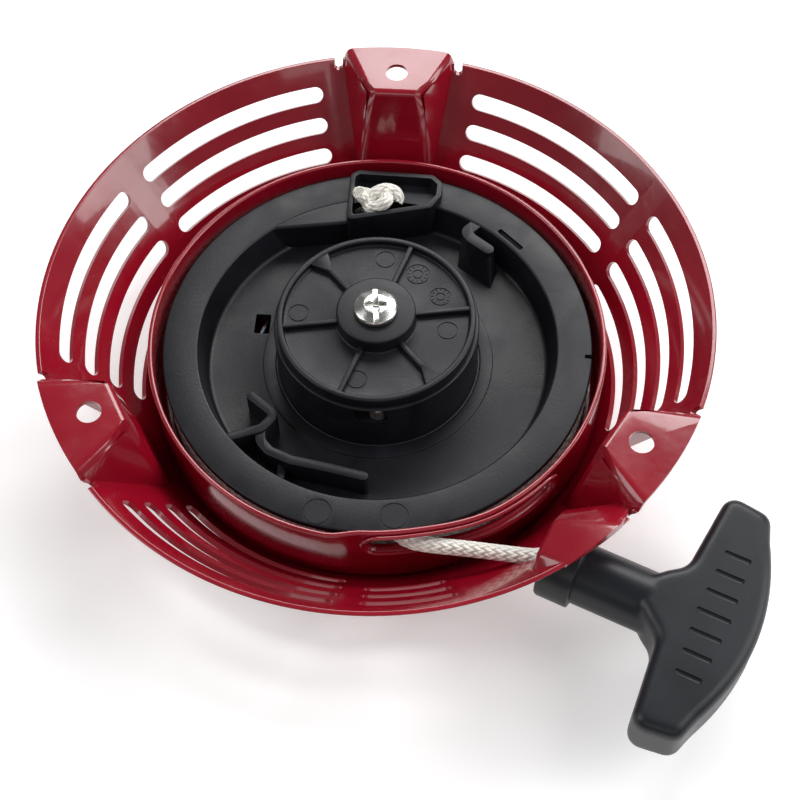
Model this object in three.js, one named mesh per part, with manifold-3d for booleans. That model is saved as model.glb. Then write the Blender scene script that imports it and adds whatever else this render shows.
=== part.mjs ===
// Recoil starter for a small four-stroke engine.
//
// Frame: millimetres, +Z towards the engine.  The origin is the centre of the
// cover's flat outer face, on the reel's axis.  Ear one points along +Y.
import * as THREE from 'three';
import { ConvexGeometry } from 'three/addons/geometries/ConvexGeometry.js';
import { mergeVertices } from 'three/addons/utils/BufferGeometryUtils.js';
import Module from 'manifold-3d';

const wasm = await Module();
wasm.setup();

// ---------------------------------------------------------------- driving sizes
const gap = 0.3;                  // assembly gap between pieces that touch
const runClear = 0.8;             // running clearance under and round the reel

const sheet = 1.2;                // steel sheet of the cover
const rimRadius = 95.4;           // outside radius of the cover's rim
const rimHeight = 41;             // rim above the outer face
const skirtSlope = rad(54);       // skirt's rise from the horizontal
const footHeight = 5;             // where the skirt turns into the floor's corner

const coverSides = 40;            // flats round the cover and the cup
const reelSides = 48;             // flats round the reel
const smallSides = 32;            // flats round the pieces in the hub

const earAngles = [90, 210, 330]; // degrees round +Z
const earHeight = rimHeight + 3;  // top of the three bolting pads
const boltCircle = rimRadius - 10.56;   // radius of the bolt holes
const boltHole = 6.8;             // bolt hole diameter
const padOuterHalf = 15.8;        // half width of a pad at the rim
const padInnerHalf = 7.6;         // half width of a pad at its inner fold
const padInnerRadius = boltCircle - 8.44;   // distance of the inner fold from the axis
const earFootHalf = 13.5;         // half width of the ear's channel at the floor
const earRimHalf = 17.5;          // half width of the ear's channel at the rim
const reliefWidth = 2.5;          // notch beside an ear, in the rim
const reliefDepth = 2.6;

const slotWidth = 5.1;            // cooling slots, measured down the slope
const slotPitch = 9.9;
const firstSlot = 7.9;            // rim edge to the first slot's upper edge
// Slot groups: first and last azimuth in degrees, and how many rows.
const slotGroups = [
  [105.4, 147.4, 4],
  [152.4, 193.1, 4],
  [225.1, 267.4, 4],
  [271.4, 288.4, 3],
  [345.1, 387.8, 4],
  [32.4, 74.5, 4],
];

const ropeSize = 4.2;             // braided rope
const ropeStep = 12;              // degrees between sections of the winding
const leadHeight = 15;            // where the rope leaves the outer layer
const turnPitch = ropeSize + 0.777;   // axial advance of one turn
const windingStart = 110;         // azimuth where the rope meets the groove, degrees
const crossSpan = 110;            // degrees taken to step out to the outer layer
const leaveAzimuth = 261;         // where the rope leaves the outer layer

const reelRadius = 62.6;          // reel flanges
const reelTop = 22;               // upper flange's face
const flange = 2;
const coreRadius = reelRadius - 2 * ropeSize - 0.2;   // bottom of the rope groove
const wellRadius = coreRadius - 1.7;   // annular well's edge at the flange
const wellFloorRadius = wellRadius - 2;
const wellFloor = 12;
const web = 2;                    // well floor's thickness
const hubRadius = 29.5;
const hubTop = 31;
const hubWall = 2.5;
const pawlBay = 24.3;             // floor of the pawl bay in the hub
const sleeveWall = 2.5;
const padRing = [hubRadius + 0.8, hubRadius + 4.5, 0.5];   // rough ring round the hub: radii, rise
const pocketTop = 25.3;           // raised wall round the knot pocket
const pocketWall = 1.6;
const pocketFloor = 14;
const pocketShelf = reelTop - 0.8;   // shallow part of the pocket over the groove
const ribTop = 21;                // S-shaped stiffening walls in the well
const windingInner = coreRadius + ropeSize / 2 + 0.25;   // centre lines of the two rope layers
const windingOuter = windingInner + ropeSize - 0.05;

const cupSheet = 1.5;             // welded inner cup
const cupRadius = reelRadius + 2.4;   // inside radius of its wall
const cupHeight = 25;             // top of its wall
const joggle = 1.9;               // inward step of the wall beside the window
const joggleStart = 262;          // degrees
const joggleFull = 281;
const joggleEnd = 306;
const windowStart = 271.5;        // rope window in the cup's wall, degrees
const windowEnd = 321.5;
const windowLow = 15.6;           // window's lower and upper edges
const windowHigh = 23;
const windowLip = 1.3;            // rolled lip, width and stand-off
const lipStand = 2.2;

const postRadius = 10;            // centre post, bearing of the reel
const postNeck = postRadius - 2;  // under the guide
const postTip = postRadius - 3;   // inside the guide's boss
const postFlange = postRadius + 4;
const spigot = 5;                 // riveted through the cup's floor

const springStrip = [0.8, 4.6];   // recoil spring: thickness, width
const springTurns = 8;
const springInner = postRadius + gap + sleeveWall + 4.2;
const springOuter = wellRadius - 3.8;
const springLift = 4.4;           // lower edge of the strip

const guideRadius = hubRadius - 1;   // ratchet guide disc
const guideRim = 1.8;
const guideRimTop = hubTop + 3.5;
const guidePlate = 1.2;
const bossRadius = postTip + 4.3;
const bossTop = hubTop + 6.5;
const guideNeck = 1.7;            // collar under the guide, round the post
const screwHead = 12.4;           // head diameter
const screwHeadTall = 2.5;
const screwSize = 6;

const pawlThick = 4.6;
const pawlLift = pawlBay + 0.9;
const pawlPivot = new THREE.Vector2(-11.5, 11 - hubRadius);
const pawlNose = new THREE.Vector2(2.4, 0.3 - hubRadius);
const pawlElbow = new THREE.Vector2(2.4, 5.1 - hubRadius);
const pawlBoss = 3.7;
const pawlArm = 2.0;              // half width of the arm
const noseHalf = 1.8;
const pinRadius = 1.8;
const pawlWindow = [-3.8, 4.9];   // window's edges along X, seen from the front
const windowSill = pawlBay + 0.6;
const windowHead = hubTop - 0.6;
const springWire = 0.6;           // pawl springs
const frictionWire = 1.2;

const gripAngle = rad(-22.4);     // direction in which the rope is pulled
const outletAzimuth = -54.02;     // degrees
const outletHeight = rimHeight - 15;
const outletProud = 0.77;         // the dimple's mouth stands this far off the skirt
const collarRadius = 9.9;
const outletRadius = collarRadius + 1.1;   // round dimple that seats the grip's collar
const outletHole = ropeSize + 2.4;
const collarLength = 9.8;
const stemRadius = 8.3;
const barInner = 35;              // outlet to the near side of the cross bar
const barOuter = 57.8;            // outlet to the middle of its bowed face
const barEnd = 50.2;              // and to the bowed face's ends
const barHalf = 35;               // half length of the cross bar
const barThick = 16.6;
const ropeBore = ropeSize + 1.2;
const knotPocket = [14, 9];       // recess in the grip for the knot
const knotSeat = 42;              // its floor, from the outlet
const plateThick = 1.2;           // reinforcement plate under the knot

// ------------------------------------------------------------------- helpers
function rad(degrees) {
  return degrees * Math.PI / 180;
}

function polar(radius, degrees, z = 0) {
  return new THREE.Vector3(radius * Math.cos(rad(degrees)), radius * Math.sin(rad(degrees)), z);
}

function signedVolume(position, index) {
  const a = new THREE.Vector3();
  const b = new THREE.Vector3();
  const c = new THREE.Vector3();
  let sum = 0;
  for (let i = 0; i < index.length; i += 3) {
    a.fromBufferAttribute(position, index[i]);
    b.fromBufferAttribute(position, index[i + 1]);
    c.fromBufferAttribute(position, index[i + 2]);
    sum += a.dot(b.cross(c));
  }
  return sum;
}

// A closed geometry as a solid, its shared corners merged and its faces outward.
function solid(geometry) {
  const bare = geometry.clone();
  bare.deleteAttribute('normal');
  bare.deleteAttribute('uv');
  const merged = mergeVertices(bare, 1e-4);
  const position = merged.attributes.position;
  const kept = [];
  const index = merged.index.array;
  for (let i = 0; i < index.length; i += 3) {
    const [a, b, c] = [index[i], index[i + 1], index[i + 2]];
    if (a !== b && b !== c && a !== c) kept.push(a, b, c);
  }
  if (signedVolume(position, kept) < 0) kept.reverse();
  return new wasm.Manifold(new wasm.Mesh({
    numProp: 3,
    vertProperties: new Float32Array(position.array),
    triVerts: new Uint32Array(kept),
  }));
}

function geometryOf(body) {
  const mesh = body.getMesh();
  const geometry = new THREE.BufferGeometry();
  geometry.setAttribute('position', new THREE.BufferAttribute(mesh.vertProperties, 3));
  geometry.setIndex(new THREE.BufferAttribute(mesh.triVerts, 1));
  return geometry;
}

// Body of revolution about +Z from [radius, z] corners.
function turned(corners, segments = reelSides) {
  const profile = corners.map(([r, z]) => new THREE.Vector2(r, z));
  if (corners[0][0] > 0) profile.push(profile[0].clone());
  const geometry = new THREE.LatheGeometry(profile, segments);
  return solid(geometry.rotateX(Math.PI / 2));
}

// Flat outline of Vector2 corners raised from low to high.
function raised(outline, low, high, holes = []) {
  const shape = new THREE.Shape(outline);
  shape.holes = holes.map((hole) => new THREE.Path(hole));
  const geometry = new THREE.ExtrudeGeometry(shape, { depth: high - low, bevelEnabled: false });
  return solid(geometry.translate(0, 0, low));
}

function block(x0, x1, y0, y1, z0, z1) {
  const geometry = new THREE.BoxGeometry(x1 - x0, y1 - y0, z1 - z0);
  return solid(geometry.translate((x0 + x1) / 2, (y0 + y1) / 2, (z0 + z1) / 2));
}

function rod(radius, low, high, x = 0, y = 0, segments = 32) {
  const geometry = new THREE.CylinderGeometry(radius, radius, high - low, segments);
  geometry.rotateX(Math.PI / 2).translate(x, y, (low + high) / 2);
  return solid(geometry);
}

function arc(cx, cy, radius, from, to, steps) {
  return Array.from({ length: steps + 1 }, (_, i) => {
    const a = rad(from + (to - from) * i / steps);
    return new THREE.Vector2(cx + radius * Math.cos(a), cy + radius * Math.sin(a));
  });
}

// Straight wall with round ends between two plan points.
function wall(from, to, width, low, high) {
  const turn = Math.atan2(to[1] - from[1], to[0] - from[0]) * 180 / Math.PI;
  const outline = [
    ...arc(to[0], to[1], width / 2, turn - 90, turn + 90, 4),
    ...arc(from[0], from[1], width / 2, turn + 90, turn + 270, 4),
  ];
  return raised(outline, low, high);
}

function wallAlong(points, width, low, high) {
  return points.slice(1).map((point, i) => wall(points[i], point, width, low, high))
    .reduce((sum, piece) => sum.add(piece));
}

// Round-ended slot of a given angular span, as a cutter laid on a surface.
// place(angle, across, out) gives the point at an azimuth, a distance across the
// slot and a distance along the surface's normal.
function slotCutter(start, end, radius, width, depth, place, stepDegrees = 14) {
  const half = rad(end - start) * radius / 2;
  const r = width / 2;
  const stations = [];
  for (let a = 18; a <= 90; a += 36) {
    stations.push([-half + r * (1 - Math.cos(rad(a))), r * Math.sin(rad(a))]);
  }
  const steps = Math.max(2, Math.round((end - start) / stepDegrees));
  for (let i = 1; i < steps; i += 1) stations.push([(half - r) * (2 * i / steps - 1), r]);
  for (let a = 90; a >= 18; a -= 36) {
    stations.push([half - r * (1 - Math.cos(rad(a))), r * Math.sin(rad(a))]);
  }
  const middle = rad((start + end) / 2);
  const vertices = [];
  for (const [along, across] of stations) {
    const azimuth = middle + along / radius;
    const corners = [[-across, depth[0]], [across, depth[0]], [across, depth[1]], [-across, depth[1]]];
    for (const [side, out] of corners) vertices.push(...place(azimuth, side, out).toArray());
  }
  const index = [0, 2, 1, 0, 3, 2];
  for (let i = 0; i < stations.length - 1; i += 1) {
    for (let k = 0; k < 4; k += 1) {
      const [a, b] = [4 * i + k, 4 * i + (k + 1) % 4];
      index.push(a, b, b + 4, a, b + 4, a + 4);
    }
  }
  const last = 4 * (stations.length - 1);
  index.push(last, last + 1, last + 2, last, last + 2, last + 3);
  const geometry = new THREE.BufferGeometry();
  geometry.setAttribute('position', new THREE.Float32BufferAttribute(vertices, 3));
  geometry.setIndex(index);
  return solid(geometry);
}

// Tube of a regular section along a smooth curve through the given points.
function tube(points, radius, sides, steps, tension = 0.5) {
  const curve = new THREE.CatmullRomCurve3(points, false, 'centripetal', tension);
  const section = new THREE.Shape(arc(0, 0, radius, 0, 360 - 360 / sides, sides - 1));
  return solid(new THREE.ExtrudeGeometry(section, { steps, extrudePath: curve }));
}

// ------------------------------------------------------------------- materials
function finish(color, roughness, metalness) {
  return new THREE.MeshStandardMaterial({ color, roughness, metalness });
}

const redPaint = finish(0x9c1428, 0.25, 0.1);
const blackNylon = finish(0x2b2c30, 0.55, 0);
const gripPlastic = finish(0x33353a, 0.45, 0);
const whiteRope = finish(0xdcdad2, 0.9, 0);
const brightSteel = finish(0xc9cbcc, 0.3, 1);
const darkSteel = finish(0x55585c, 0.4, 1);
const zincPlate = finish(0xd4d6d4, 0.28, 1);

const starter = new THREE.Group();

function add(name, body, material, parent = starter) {
  const mesh = new THREE.Mesh(geometryOf(body), material.clone());
  mesh.name = name;
  parent.add(mesh);
  return mesh;
}

// ----------------------------------------------------------------- outer cover
const skirtRun = 1 / Math.tan(skirtSlope);          // radius gained per mm of height
const skirtWall = sheet / Math.sin(skirtSlope);     // sheet measured along the radius

function skirtOuter(z) {
  return rimRadius - (rimHeight - z) * skirtRun;
}

// Rope's run from the window in the cup to the outlet in the skirt.
const outlet = polar(skirtOuter(outletHeight) + outletProud, outletAzimuth, outletHeight);
const pull = new THREE.Vector3(Math.cos(gripAngle), Math.sin(gripAngle), 0);
const windowMiddle = (windowLow + windowHigh) / 2;
const leadStart = polar(cupRadius + 0.15, -76.15, windowMiddle - 0.2);
const leadPath = [
  leadStart,
  leadStart.clone().lerp(outlet, 0.42),
  leadStart.clone().lerp(outlet, 0.85),
  outlet.clone().addScaledVector(pull, -1.4),
  outlet.clone().addScaledVector(pull, 0.1),
];

const footOuter = skirtOuter(footHeight);
const floorOuter = footOuter - 2.2;                 // flat outer face's radius

// Point on the skirt's middle surface: azimuth, distance down from the rim, and
// distance outwards.
function onSkirt(azimuth, down, out) {
  const r = rimRadius - skirtWall / 2 - down * Math.cos(skirtSlope) + out * Math.sin(skirtSlope);
  const z = rimHeight - down * Math.sin(skirtSlope) - out * Math.cos(skirtSlope);
  return new THREE.Vector3(r * Math.cos(azimuth), r * Math.sin(azimuth), z);
}

function skirtSlots() {
  const cutters = [];
  for (const [start, end, rows] of slotGroups) {
    for (let row = 0; row < rows; row += 1) {
      const middle = firstSlot + slotPitch * row + slotWidth / 2;
      const radius = rimRadius - skirtWall / 2 - middle * Math.cos(skirtSlope);
      const place = (azimuth, down, out) => onSkirt(azimuth, middle + down, out);
      cutters.push(slotCutter(start, end, radius, slotWidth, [-3, 3], place));
    }
  }
  return cutters;
}

// One ear's block, pointing along +Y.  inset shrinks it to the space beneath.
function earBlock(inset) {
  const reach = rimRadius + 12;
  const top = earHeight - inset;
  const low = footHeight - 2 - inset;
  const foot = footOuter + 0.3 + inset;
  const corners = [];
  for (const side of [-1, 1]) {
    corners.push(
      [side * (padInnerHalf - inset), padInnerRadius + inset, top],
      [side * (padOuterHalf + 0.3 - inset), boltCircle + 9.5, top],
      [side * (padOuterHalf + 0.3 - inset), reach, top],
      [side * (earRimHalf - inset), reach, rimHeight - 1],
      [side * (earRimHalf - inset), boltCircle + 7, rimHeight - 1],
      [side * (padInnerHalf + 3.4 - inset), foot, low],
      [side * (earFootHalf - inset), foot + 2.5, low],
      [side * (earFootHalf - inset), reach, low],
    );
  }
  return solid(new ConvexGeometry(corners.map((c) => new THREE.Vector3(...c))));
}

function outletCylinder(radius, from, to, segments = 32) {
  const geometry = new THREE.CylinderGeometry(radius, radius, to - from, segments);
  geometry.rotateZ(Math.PI / 2).translate((from + to) / 2, 0, 0);
  geometry.rotateZ(gripAngle).translate(outlet.x, outlet.y, outlet.z);
  return solid(geometry);
}

function outerCover() {
  const corner = footOuter - skirtWall;
  let body = turned([
    [0, 0], [floorOuter, 0], [footOuter - 0.6, 1.2], [footOuter, footHeight],
    [rimRadius, rimHeight], [rimRadius - skirtWall, rimHeight],
    [corner, footHeight], [corner - 0.5, 2.2], [corner - 1.5, sheet], [0, sheet],
  ], coverSides);
  const envelope = turned([
    [0, 0], [floorOuter, 0], [footOuter - 0.6, 1.2], [footOuter, footHeight],
    [rimRadius, rimHeight], [rimRadius, earHeight + 1], [0, earHeight + 1],
  ], coverSides);
  for (const cutter of skirtSlots()) body = body.subtract(cutter);
  for (const angle of earAngles) {
    const turn = [0, 0, angle - 90];
    body = body.add(earBlock(0).rotate(turn).intersect(envelope));
    body = body.subtract(earBlock(sheet).rotate(turn));
    const hole = rod(boltHole / 2, rimHeight - 4, earHeight + 2, 0, boltCircle);
    body = body.subtract(hole.rotate(turn));
    for (const side of [-1, 1]) {
      const near = earRimHalf + 0.01;
      const far = near + reliefWidth;
      const relief = block(
        side > 0 ? near : -far, side > 0 ? far : -near,
        boltCircle - 4, rimRadius + 4, rimHeight - reliefDepth, rimHeight + 2,
      );
      body = body.subtract(relief.rotate(turn));
    }
  }
  const dimple = outletCylinder(outletRadius + sheet, -sheet, 40).intersect(envelope);
  body = body.add(dimple).subtract(outletCylinder(outletRadius, 0, 60));
  body = body.subtract(outletCylinder(outletHole / 2, -4, 2, 20));
  return body.subtract(tube(leadPath.slice(1), outletHole / 2, 12, 10));
}

add('outer_cover', outerCover(), redPaint);

// ------------------------------------------------------------------- reel cup
const cupFloorLow = sheet + gap;
const cupFloorHigh = cupFloorLow + cupSheet;

function joggleAt(degrees) {
  if (degrees < joggleStart || degrees > joggleEnd) return 0;
  if (degrees <= joggleFull) return joggle;
  return joggle * (joggleEnd - degrees) / (joggleEnd - joggleFull);
}

function cupOutline(radius) {
  return Array.from({ length: coverSides }, (_, i) => {
    const degrees = 360 * i / coverSides;
    const point = polar(radius - joggleAt(degrees), degrees);
    return new THREE.Vector2(point.x, point.y);
  });
}

function onCup(azimuth, across, out) {
  return new THREE.Vector3(out * Math.cos(azimuth), out * Math.sin(azimuth), across);
}

function cupWindow(grow, inner, outer) {
  const place = (azimuth, across, out) => onCup(azimuth, windowMiddle + across, out);
  const spread = grow / cupRadius * 180 / Math.PI;
  return slotCutter(
    windowStart - spread, windowEnd + spread, cupRadius,
    windowHigh - windowLow + 2 * grow, [inner, outer], place,
  );
}

function reelCup() {
  const outside = cupRadius + cupSheet;
  let body = raised(cupOutline(outside), cupFloorHigh - 0.5, cupHeight, [cupOutline(cupRadius)]);
  const floor = turned([
    [spigot + gap, cupFloorLow], [outside - 2.4, cupFloorLow], [outside, cupFloorLow + 2.4],
    [outside, cupFloorLow + 3], [cupRadius - 1.5, cupFloorLow + 3],
    [cupRadius - 2, cupFloorHigh], [spigot + gap, cupFloorHigh],
  ], coverSides);
  body = body.add(floor);
  body = body.add(cupWindow(windowLip, cupRadius - joggle + 0.4, outside + lipStand - joggle / 2));
  return body.subtract(cupWindow(0, cupRadius - 8, outside + 8));
}

add('reel_cup', reelCup(), redPaint);

// ---------------------------------------------------------- post and its spring
const postFoot = cupFloorHigh + gap;
const sleeveBore = postRadius + gap;
const bossRoof = bossTop - 2;

const centrePost = turned([
  [0, cupFloorLow + 0.1], [spigot, cupFloorLow + 0.1], [spigot, postFoot],
  [postFlange, postFoot], [postFlange, postFoot + 1.2], [postRadius, postFoot + 1.2],
  [postRadius, pawlBay - gap], [postNeck, pawlBay - gap], [postNeck, hubTop],
  [postTip, hubTop], [postTip, bossRoof - gap], [screwSize / 2 + gap, bossRoof - gap],
  [screwSize / 2 + gap, 13.5], [0, 13.5],
], smallSides);
add('centre_post', centrePost, darkSteel);

// Flat spiral strip, wound from the reel's sleeve out to the anchor on the cup.
function recoilSpring() {
  const [thickness, width] = springStrip;
  const perTurn = 16;
  const steps = springTurns * perTurn;
  const side = (offset) => Array.from({ length: steps + 1 }, (_, i) => {
    const radius = springInner + (springOuter - springInner) * i / steps + offset;
    const point = polar(radius, 360 * i / perTurn + 40);
    return new THREE.Vector2(point.x, point.y);
  });
  const outline = [...side(thickness / 2), ...side(-thickness / 2).reverse()];
  return raised(outline, springLift, springLift + width);
}

add('recoil_spring', recoilSpring(), darkSteel);

// Tab on the cup's floor that holds the spring's outer end.
const anchorAngle = 40;
const anchorMiddle = springOuter + springStrip[0] / 2 + gap + 0.55;
const springAnchor = block(
  anchorMiddle - 0.5, anchorMiddle + 0.5, -5, 4, cupFloorHigh + gap, springLift + springStrip[1],
).rotate([0, 0, anchorAngle]);
add('spring_anchor', springAnchor, darkSteel);

// ------------------------------------------------------------------------ reel
const reelLow = cupFloorHigh + runClear;
// Knot pocket's outline: x, and distance outwards from the groove's bottom.
const pocketOutline = [
  [-12.8, -12.8], [12.8, -6.5], [15.8, -1.7], [16, 3.6], [12.9, 6.6], [-10.3, 7.2], [-12.8, 5.4],
].map(([x, out]) => [x, coreRadius + out]);

function plan(points) {
  return points.map(([x, y]) => new THREE.Vector2(x, y));
}

// The pocket's outline drawn in by the wall's thickness.
function insetOutline(points, distance) {
  return points.map((point, i) => {
    const before = points[(i + points.length - 1) % points.length];
    const after = points[(i + 1) % points.length];
    const edge = (a, b) => new THREE.Vector2(b[0] - a[0], b[1] - a[1]).normalize();
    const first = edge(before, point);
    const second = edge(point, after);
    const normal = new THREE.Vector2(-first.y - second.y, first.x + second.x).normalize();
    const stretch = distance / Math.max(0.5, normal.dot(new THREE.Vector2(-first.y, first.x)));
    return [point[0] + normal.x * stretch, point[1] + normal.y * stretch];
  });
}

const knotPlace = new THREE.Vector3(-4.5, coreRadius - 3.4, pocketTop - 0.5);
const knotRadii = [6.4, 5.3, 3.1];

const windingLow = reelLow + flange + ropeSize / 2 + 0.15;
const windingHigh = reelTop - flange - ropeSize / 2 - 1;

// Rope's way from the knot down through the core into the groove.
const ropeEntry = [
  new THREE.Vector3(-5.3, coreRadius - 5, knotPlace.z - 1.5),
  new THREE.Vector3(-6.4, coreRadius - 4.1, windingHigh + 1.3),
  new THREE.Vector3(-9.2, coreRadius - 1.6, windingHigh + 0.1),
  polar(windingInner - 0.7, windingStart - 4.5, windingHigh + 0.1),
  polar(windingInner, windingStart + 1, windingHigh),
];

// Degrees of winding that a rise holds at one rope's pitch a turn.
function spanOf(rise) {
  return 360 * rise / turnPitch;
}

const innerEnd = windingStart + spanOf(windingHigh - windingLow);
const outerStart = innerEnd + crossSpan;
const outerLimit = outerStart + spanOf(leadHeight - windingLow);
const windingEnd = leaveAzimuth + 360 * Math.floor((outerLimit - leaveAzimuth) / 360);

// Centre line on the reel: inner layer down, step out, outer layer up.
function windingPoint(degrees) {
  if (degrees <= innerEnd) {
    const t = (degrees - windingStart) / (innerEnd - windingStart);
    return polar(windingInner, degrees, windingHigh + (windingLow - windingHigh) * t);
  }
  if (degrees <= outerStart) {
    const t = (degrees - innerEnd) / crossSpan;
    const radius = windingInner + (windingOuter - windingInner) * t * t * (3 - 2 * t);
    return polar(radius, degrees, windingLow);
  }
  const t = (degrees - outerStart) / (windingEnd - outerStart);
  return polar(windingOuter, degrees, windingLow + (leadHeight - windingLow) * t);
}

function reelBody() {
  const sleeve = sleeveBore + sleeveWall;
  const inHub = hubRadius - hubWall;
  let body = turned([
    [sleeveBore, postFoot + 1.2 + gap], [sleeve, postFoot + 1.2 + gap],
    [sleeve, pawlBay - 1.5], [inHub, pawlBay - 1.5], [inHub, wellFloor - web],
    [wellRadius, wellFloor - web], [wellRadius, reelLow], [reelRadius, reelLow],
    [reelRadius, reelLow + flange], [coreRadius, reelLow + flange],
    [coreRadius, reelTop - flange], [reelRadius, reelTop - flange],
    [reelRadius, reelTop], [wellRadius, reelTop], [wellFloorRadius, wellFloor],
    [padRing[1], wellFloor], [padRing[1], wellFloor + padRing[2]],
    [padRing[0], wellFloor + padRing[2]], [padRing[0], wellFloor],
    [hubRadius, wellFloor], [hubRadius, hubTop], [inHub, hubTop],
    [inHub, pawlBay], [sleeveBore, pawlBay],
  ]);
  const core = rod(coreRadius, wellFloor - 1, pocketTop + 1, 0, 0, reelSides);
  const rim = rod(reelRadius, 0, pocketTop + 1, 0, 0, reelSides);

  // Flat filling of the well beside the pocket, and the stiffening walls.
  const ramp = plan([[-44, 34], [-37.5, 38.5], [-12.6, 41.2], [-12.6, 54], [-44, 54]]);
  const filling = raised(ramp, wellFloor - 1, reelTop - 0.4);
  body = body.add(filling.intersect(rod(wellRadius + 0.5, 0, reelTop, 0, 0, reelSides)));
  const ribs = [];
  const hook = [[28.5, 45.6], [24, 41], [25.6, 38.8], [31, 35]];
  ribs.push(wallAlong(hook, 3, wellFloor - 1, ribTop));
  const lobe = [
    [-30.6, -31], [-30.6, -34.5], [-27.6, -37.8], [-21, -40.4], [-11, -42], [-0.5, -44.2],
  ];
  ribs.push(wallAlong(lobe, 2.4, wellFloor - 1, ribTop - 0.6));
  const spoke = [[-34.6, -20.5], [-27, -26.3], [-30.6, -31], [-42.5, -35.6]];
  ribs.push(wallAlong(spoke, 2.4, wellFloor - 1, ribTop));
  ribs.push(wallAlong([[-0.5, -44.2], [0, -50.5]], 1.8, wellFloor - 1, ribTop - 4));
  ribs.push(block(-25.2, -22.8, -47.5, -40, wellFloor - 1, wellFloor + 5));
  const inside = rod(coreRadius - 0.8, 0, pocketTop, 0, 0, reelSides);
  for (const rib of ribs) body = body.add(rib.intersect(inside));

  // Knot pocket: a deep part inside the core and a shelf over the groove.
  const outline = plan(pocketOutline);
  const inner = plan(insetOutline(pocketOutline, pocketWall));
  body = body.add(raised(outline, wellFloor - 1, pocketTop).intersect(core));
  body = body.add(raised(outline, reelTop - flange + 0.4, pocketTop).intersect(rim));
  body = body.subtract(raised(inner, pocketShelf, pocketTop + 1));
  const deep = rod(coreRadius - pocketWall, pocketFloor, pocketTop + 1, 0, 0, reelSides);
  body = body.subtract(raised(inner, pocketFloor, pocketTop + 1).intersect(deep));
  const passage = [...ropeEntry, windingPoint(windingStart + 8)];
  body = body.subtract(tube(passage, ropeSize / 2 + 0.6, 10, 14));

  // Slot in the web, notch in the flange, and the two windows for the pawls.
  body = body.subtract(block(-38, -33.4, 7, 14, wellFloor - web - 1, wellFloor + 1));
  const notchInner = reelRadius - 2.2;
  body = body.subtract(block(notchInner, reelRadius + 1, -2.6, -1.2, reelTop - flange - 1, reelTop + 1));
  const [windowLeft, windowRight] = pawlWindow;
  for (const turn of [0, 180]) {
    const opening = block(
      windowLeft, windowRight, -hubRadius - 2, -hubRadius + 6, windowSill, windowHead,
    );
    body = body.subtract(opening.rotate([0, 0, turn]));
    const socket = rod(pinRadius + 0.01, pawlBay - 3, pawlBay + 0.01, pawlPivot.x, pawlPivot.y, 16);
    body = body.subtract(socket.rotate([0, 0, turn]));
  }
  return body;
}

add('starter_reel', reelBody(), blackNylon);

// ------------------------------------------------------------------------ rope
function ropeWinding() {
  const points = [];
  for (let a = windingStart + 1.8; a < windingEnd; a += ropeStep) points.push(windingPoint(a));
  points.push(windingPoint(windingEnd));
  return tube(points, ropeSize / 2 - 0.1, 6, 104);
}

add('rope_winding', ropeWinding(), whiteRope);

const knotBall = new THREE.IcosahedronGeometry(1, 1).scale(...knotRadii);
knotBall.translate(knotPlace.x, knotPlace.y, knotPlace.z);
const knotTail = tube(ropeEntry, ropeSize / 2 - 0.1, 8, 9);
add('rope_reel_knot', solid(knotBall).add(knotTail), whiteRope);

add('rope_lead', tube(leadPath, ropeSize / 2, 10, 16), whiteRope);

// ------------------------------------------------------------- pawls and guide
function pawlBody() {
  const along = new THREE.Vector2().subVectors(pawlElbow, pawlPivot).normalize();
  const turn = Math.atan2(along.y, along.x) * 180 / Math.PI;
  const [px, py] = [pawlPivot.x, pawlPivot.y];
  const outline = [
    ...arc(px, py, pawlBoss, turn + 60, turn + 300, 10),
    new THREE.Vector2(pawlElbow.x - noseHalf, pawlElbow.y - pawlArm + 0.6),
    new THREE.Vector2(pawlNose.x - noseHalf, pawlNose.y + 0.8),
    new THREE.Vector2(pawlNose.x - noseHalf + 0.8, pawlNose.y),
    new THREE.Vector2(pawlNose.x + noseHalf - 0.8, pawlNose.y + 0.1),
    new THREE.Vector2(pawlNose.x + noseHalf, pawlNose.y + 0.9),
    new THREE.Vector2(pawlElbow.x + noseHalf, pawlElbow.y + 0.8),
    new THREE.Vector2(pawlElbow.x + 0.4, pawlElbow.y + pawlArm),
  ];
  const hole = arc(px, py, pinRadius + gap, 0, 345, 23);
  return raised(outline, pawlLift, pawlLift + pawlThick, [hole]);
}

// Torsion spring under a pawl: most of one turn of wire round the pin.
function pawlSpring() {
  const coil = pawlBoss - 0.7;
  const height = pawlBay + springWire / 2 + 0.1;
  const points = [];
  for (let turn = 15; turn <= 345; turn += 30) {
    const place = polar(coil, turn, height);
    points.push(place.add(new THREE.Vector3(pawlPivot.x, pawlPivot.y, 0)));
  }
  return tube(points, springWire / 2, 5, 14);
}

for (const [place, turn] of [['front', 0], ['rear', 180]]) {
  const group = new THREE.Group();
  group.rotation.z = rad(turn);
  starter.add(group);
  add(`ratchet_pawl_${place}`, pawlBody(), brightSteel, group);
  add(`pawl_spring_${place}`, pawlSpring(), darkSteel, group);
  const pinTop = pawlLift + pawlThick + 0.5;
  const pin = rod(pinRadius - 0.02, pawlBay - 1.2, pinTop, pawlPivot.x, pawlPivot.y, 16);
  add(`pawl_pin_${place}`, pin, darkSteel, group);
}

// Disc that throws the pawls out: rim, six ribs, two marked by a wedge, boss.
const guideLow = hubTop + gap;

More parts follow.
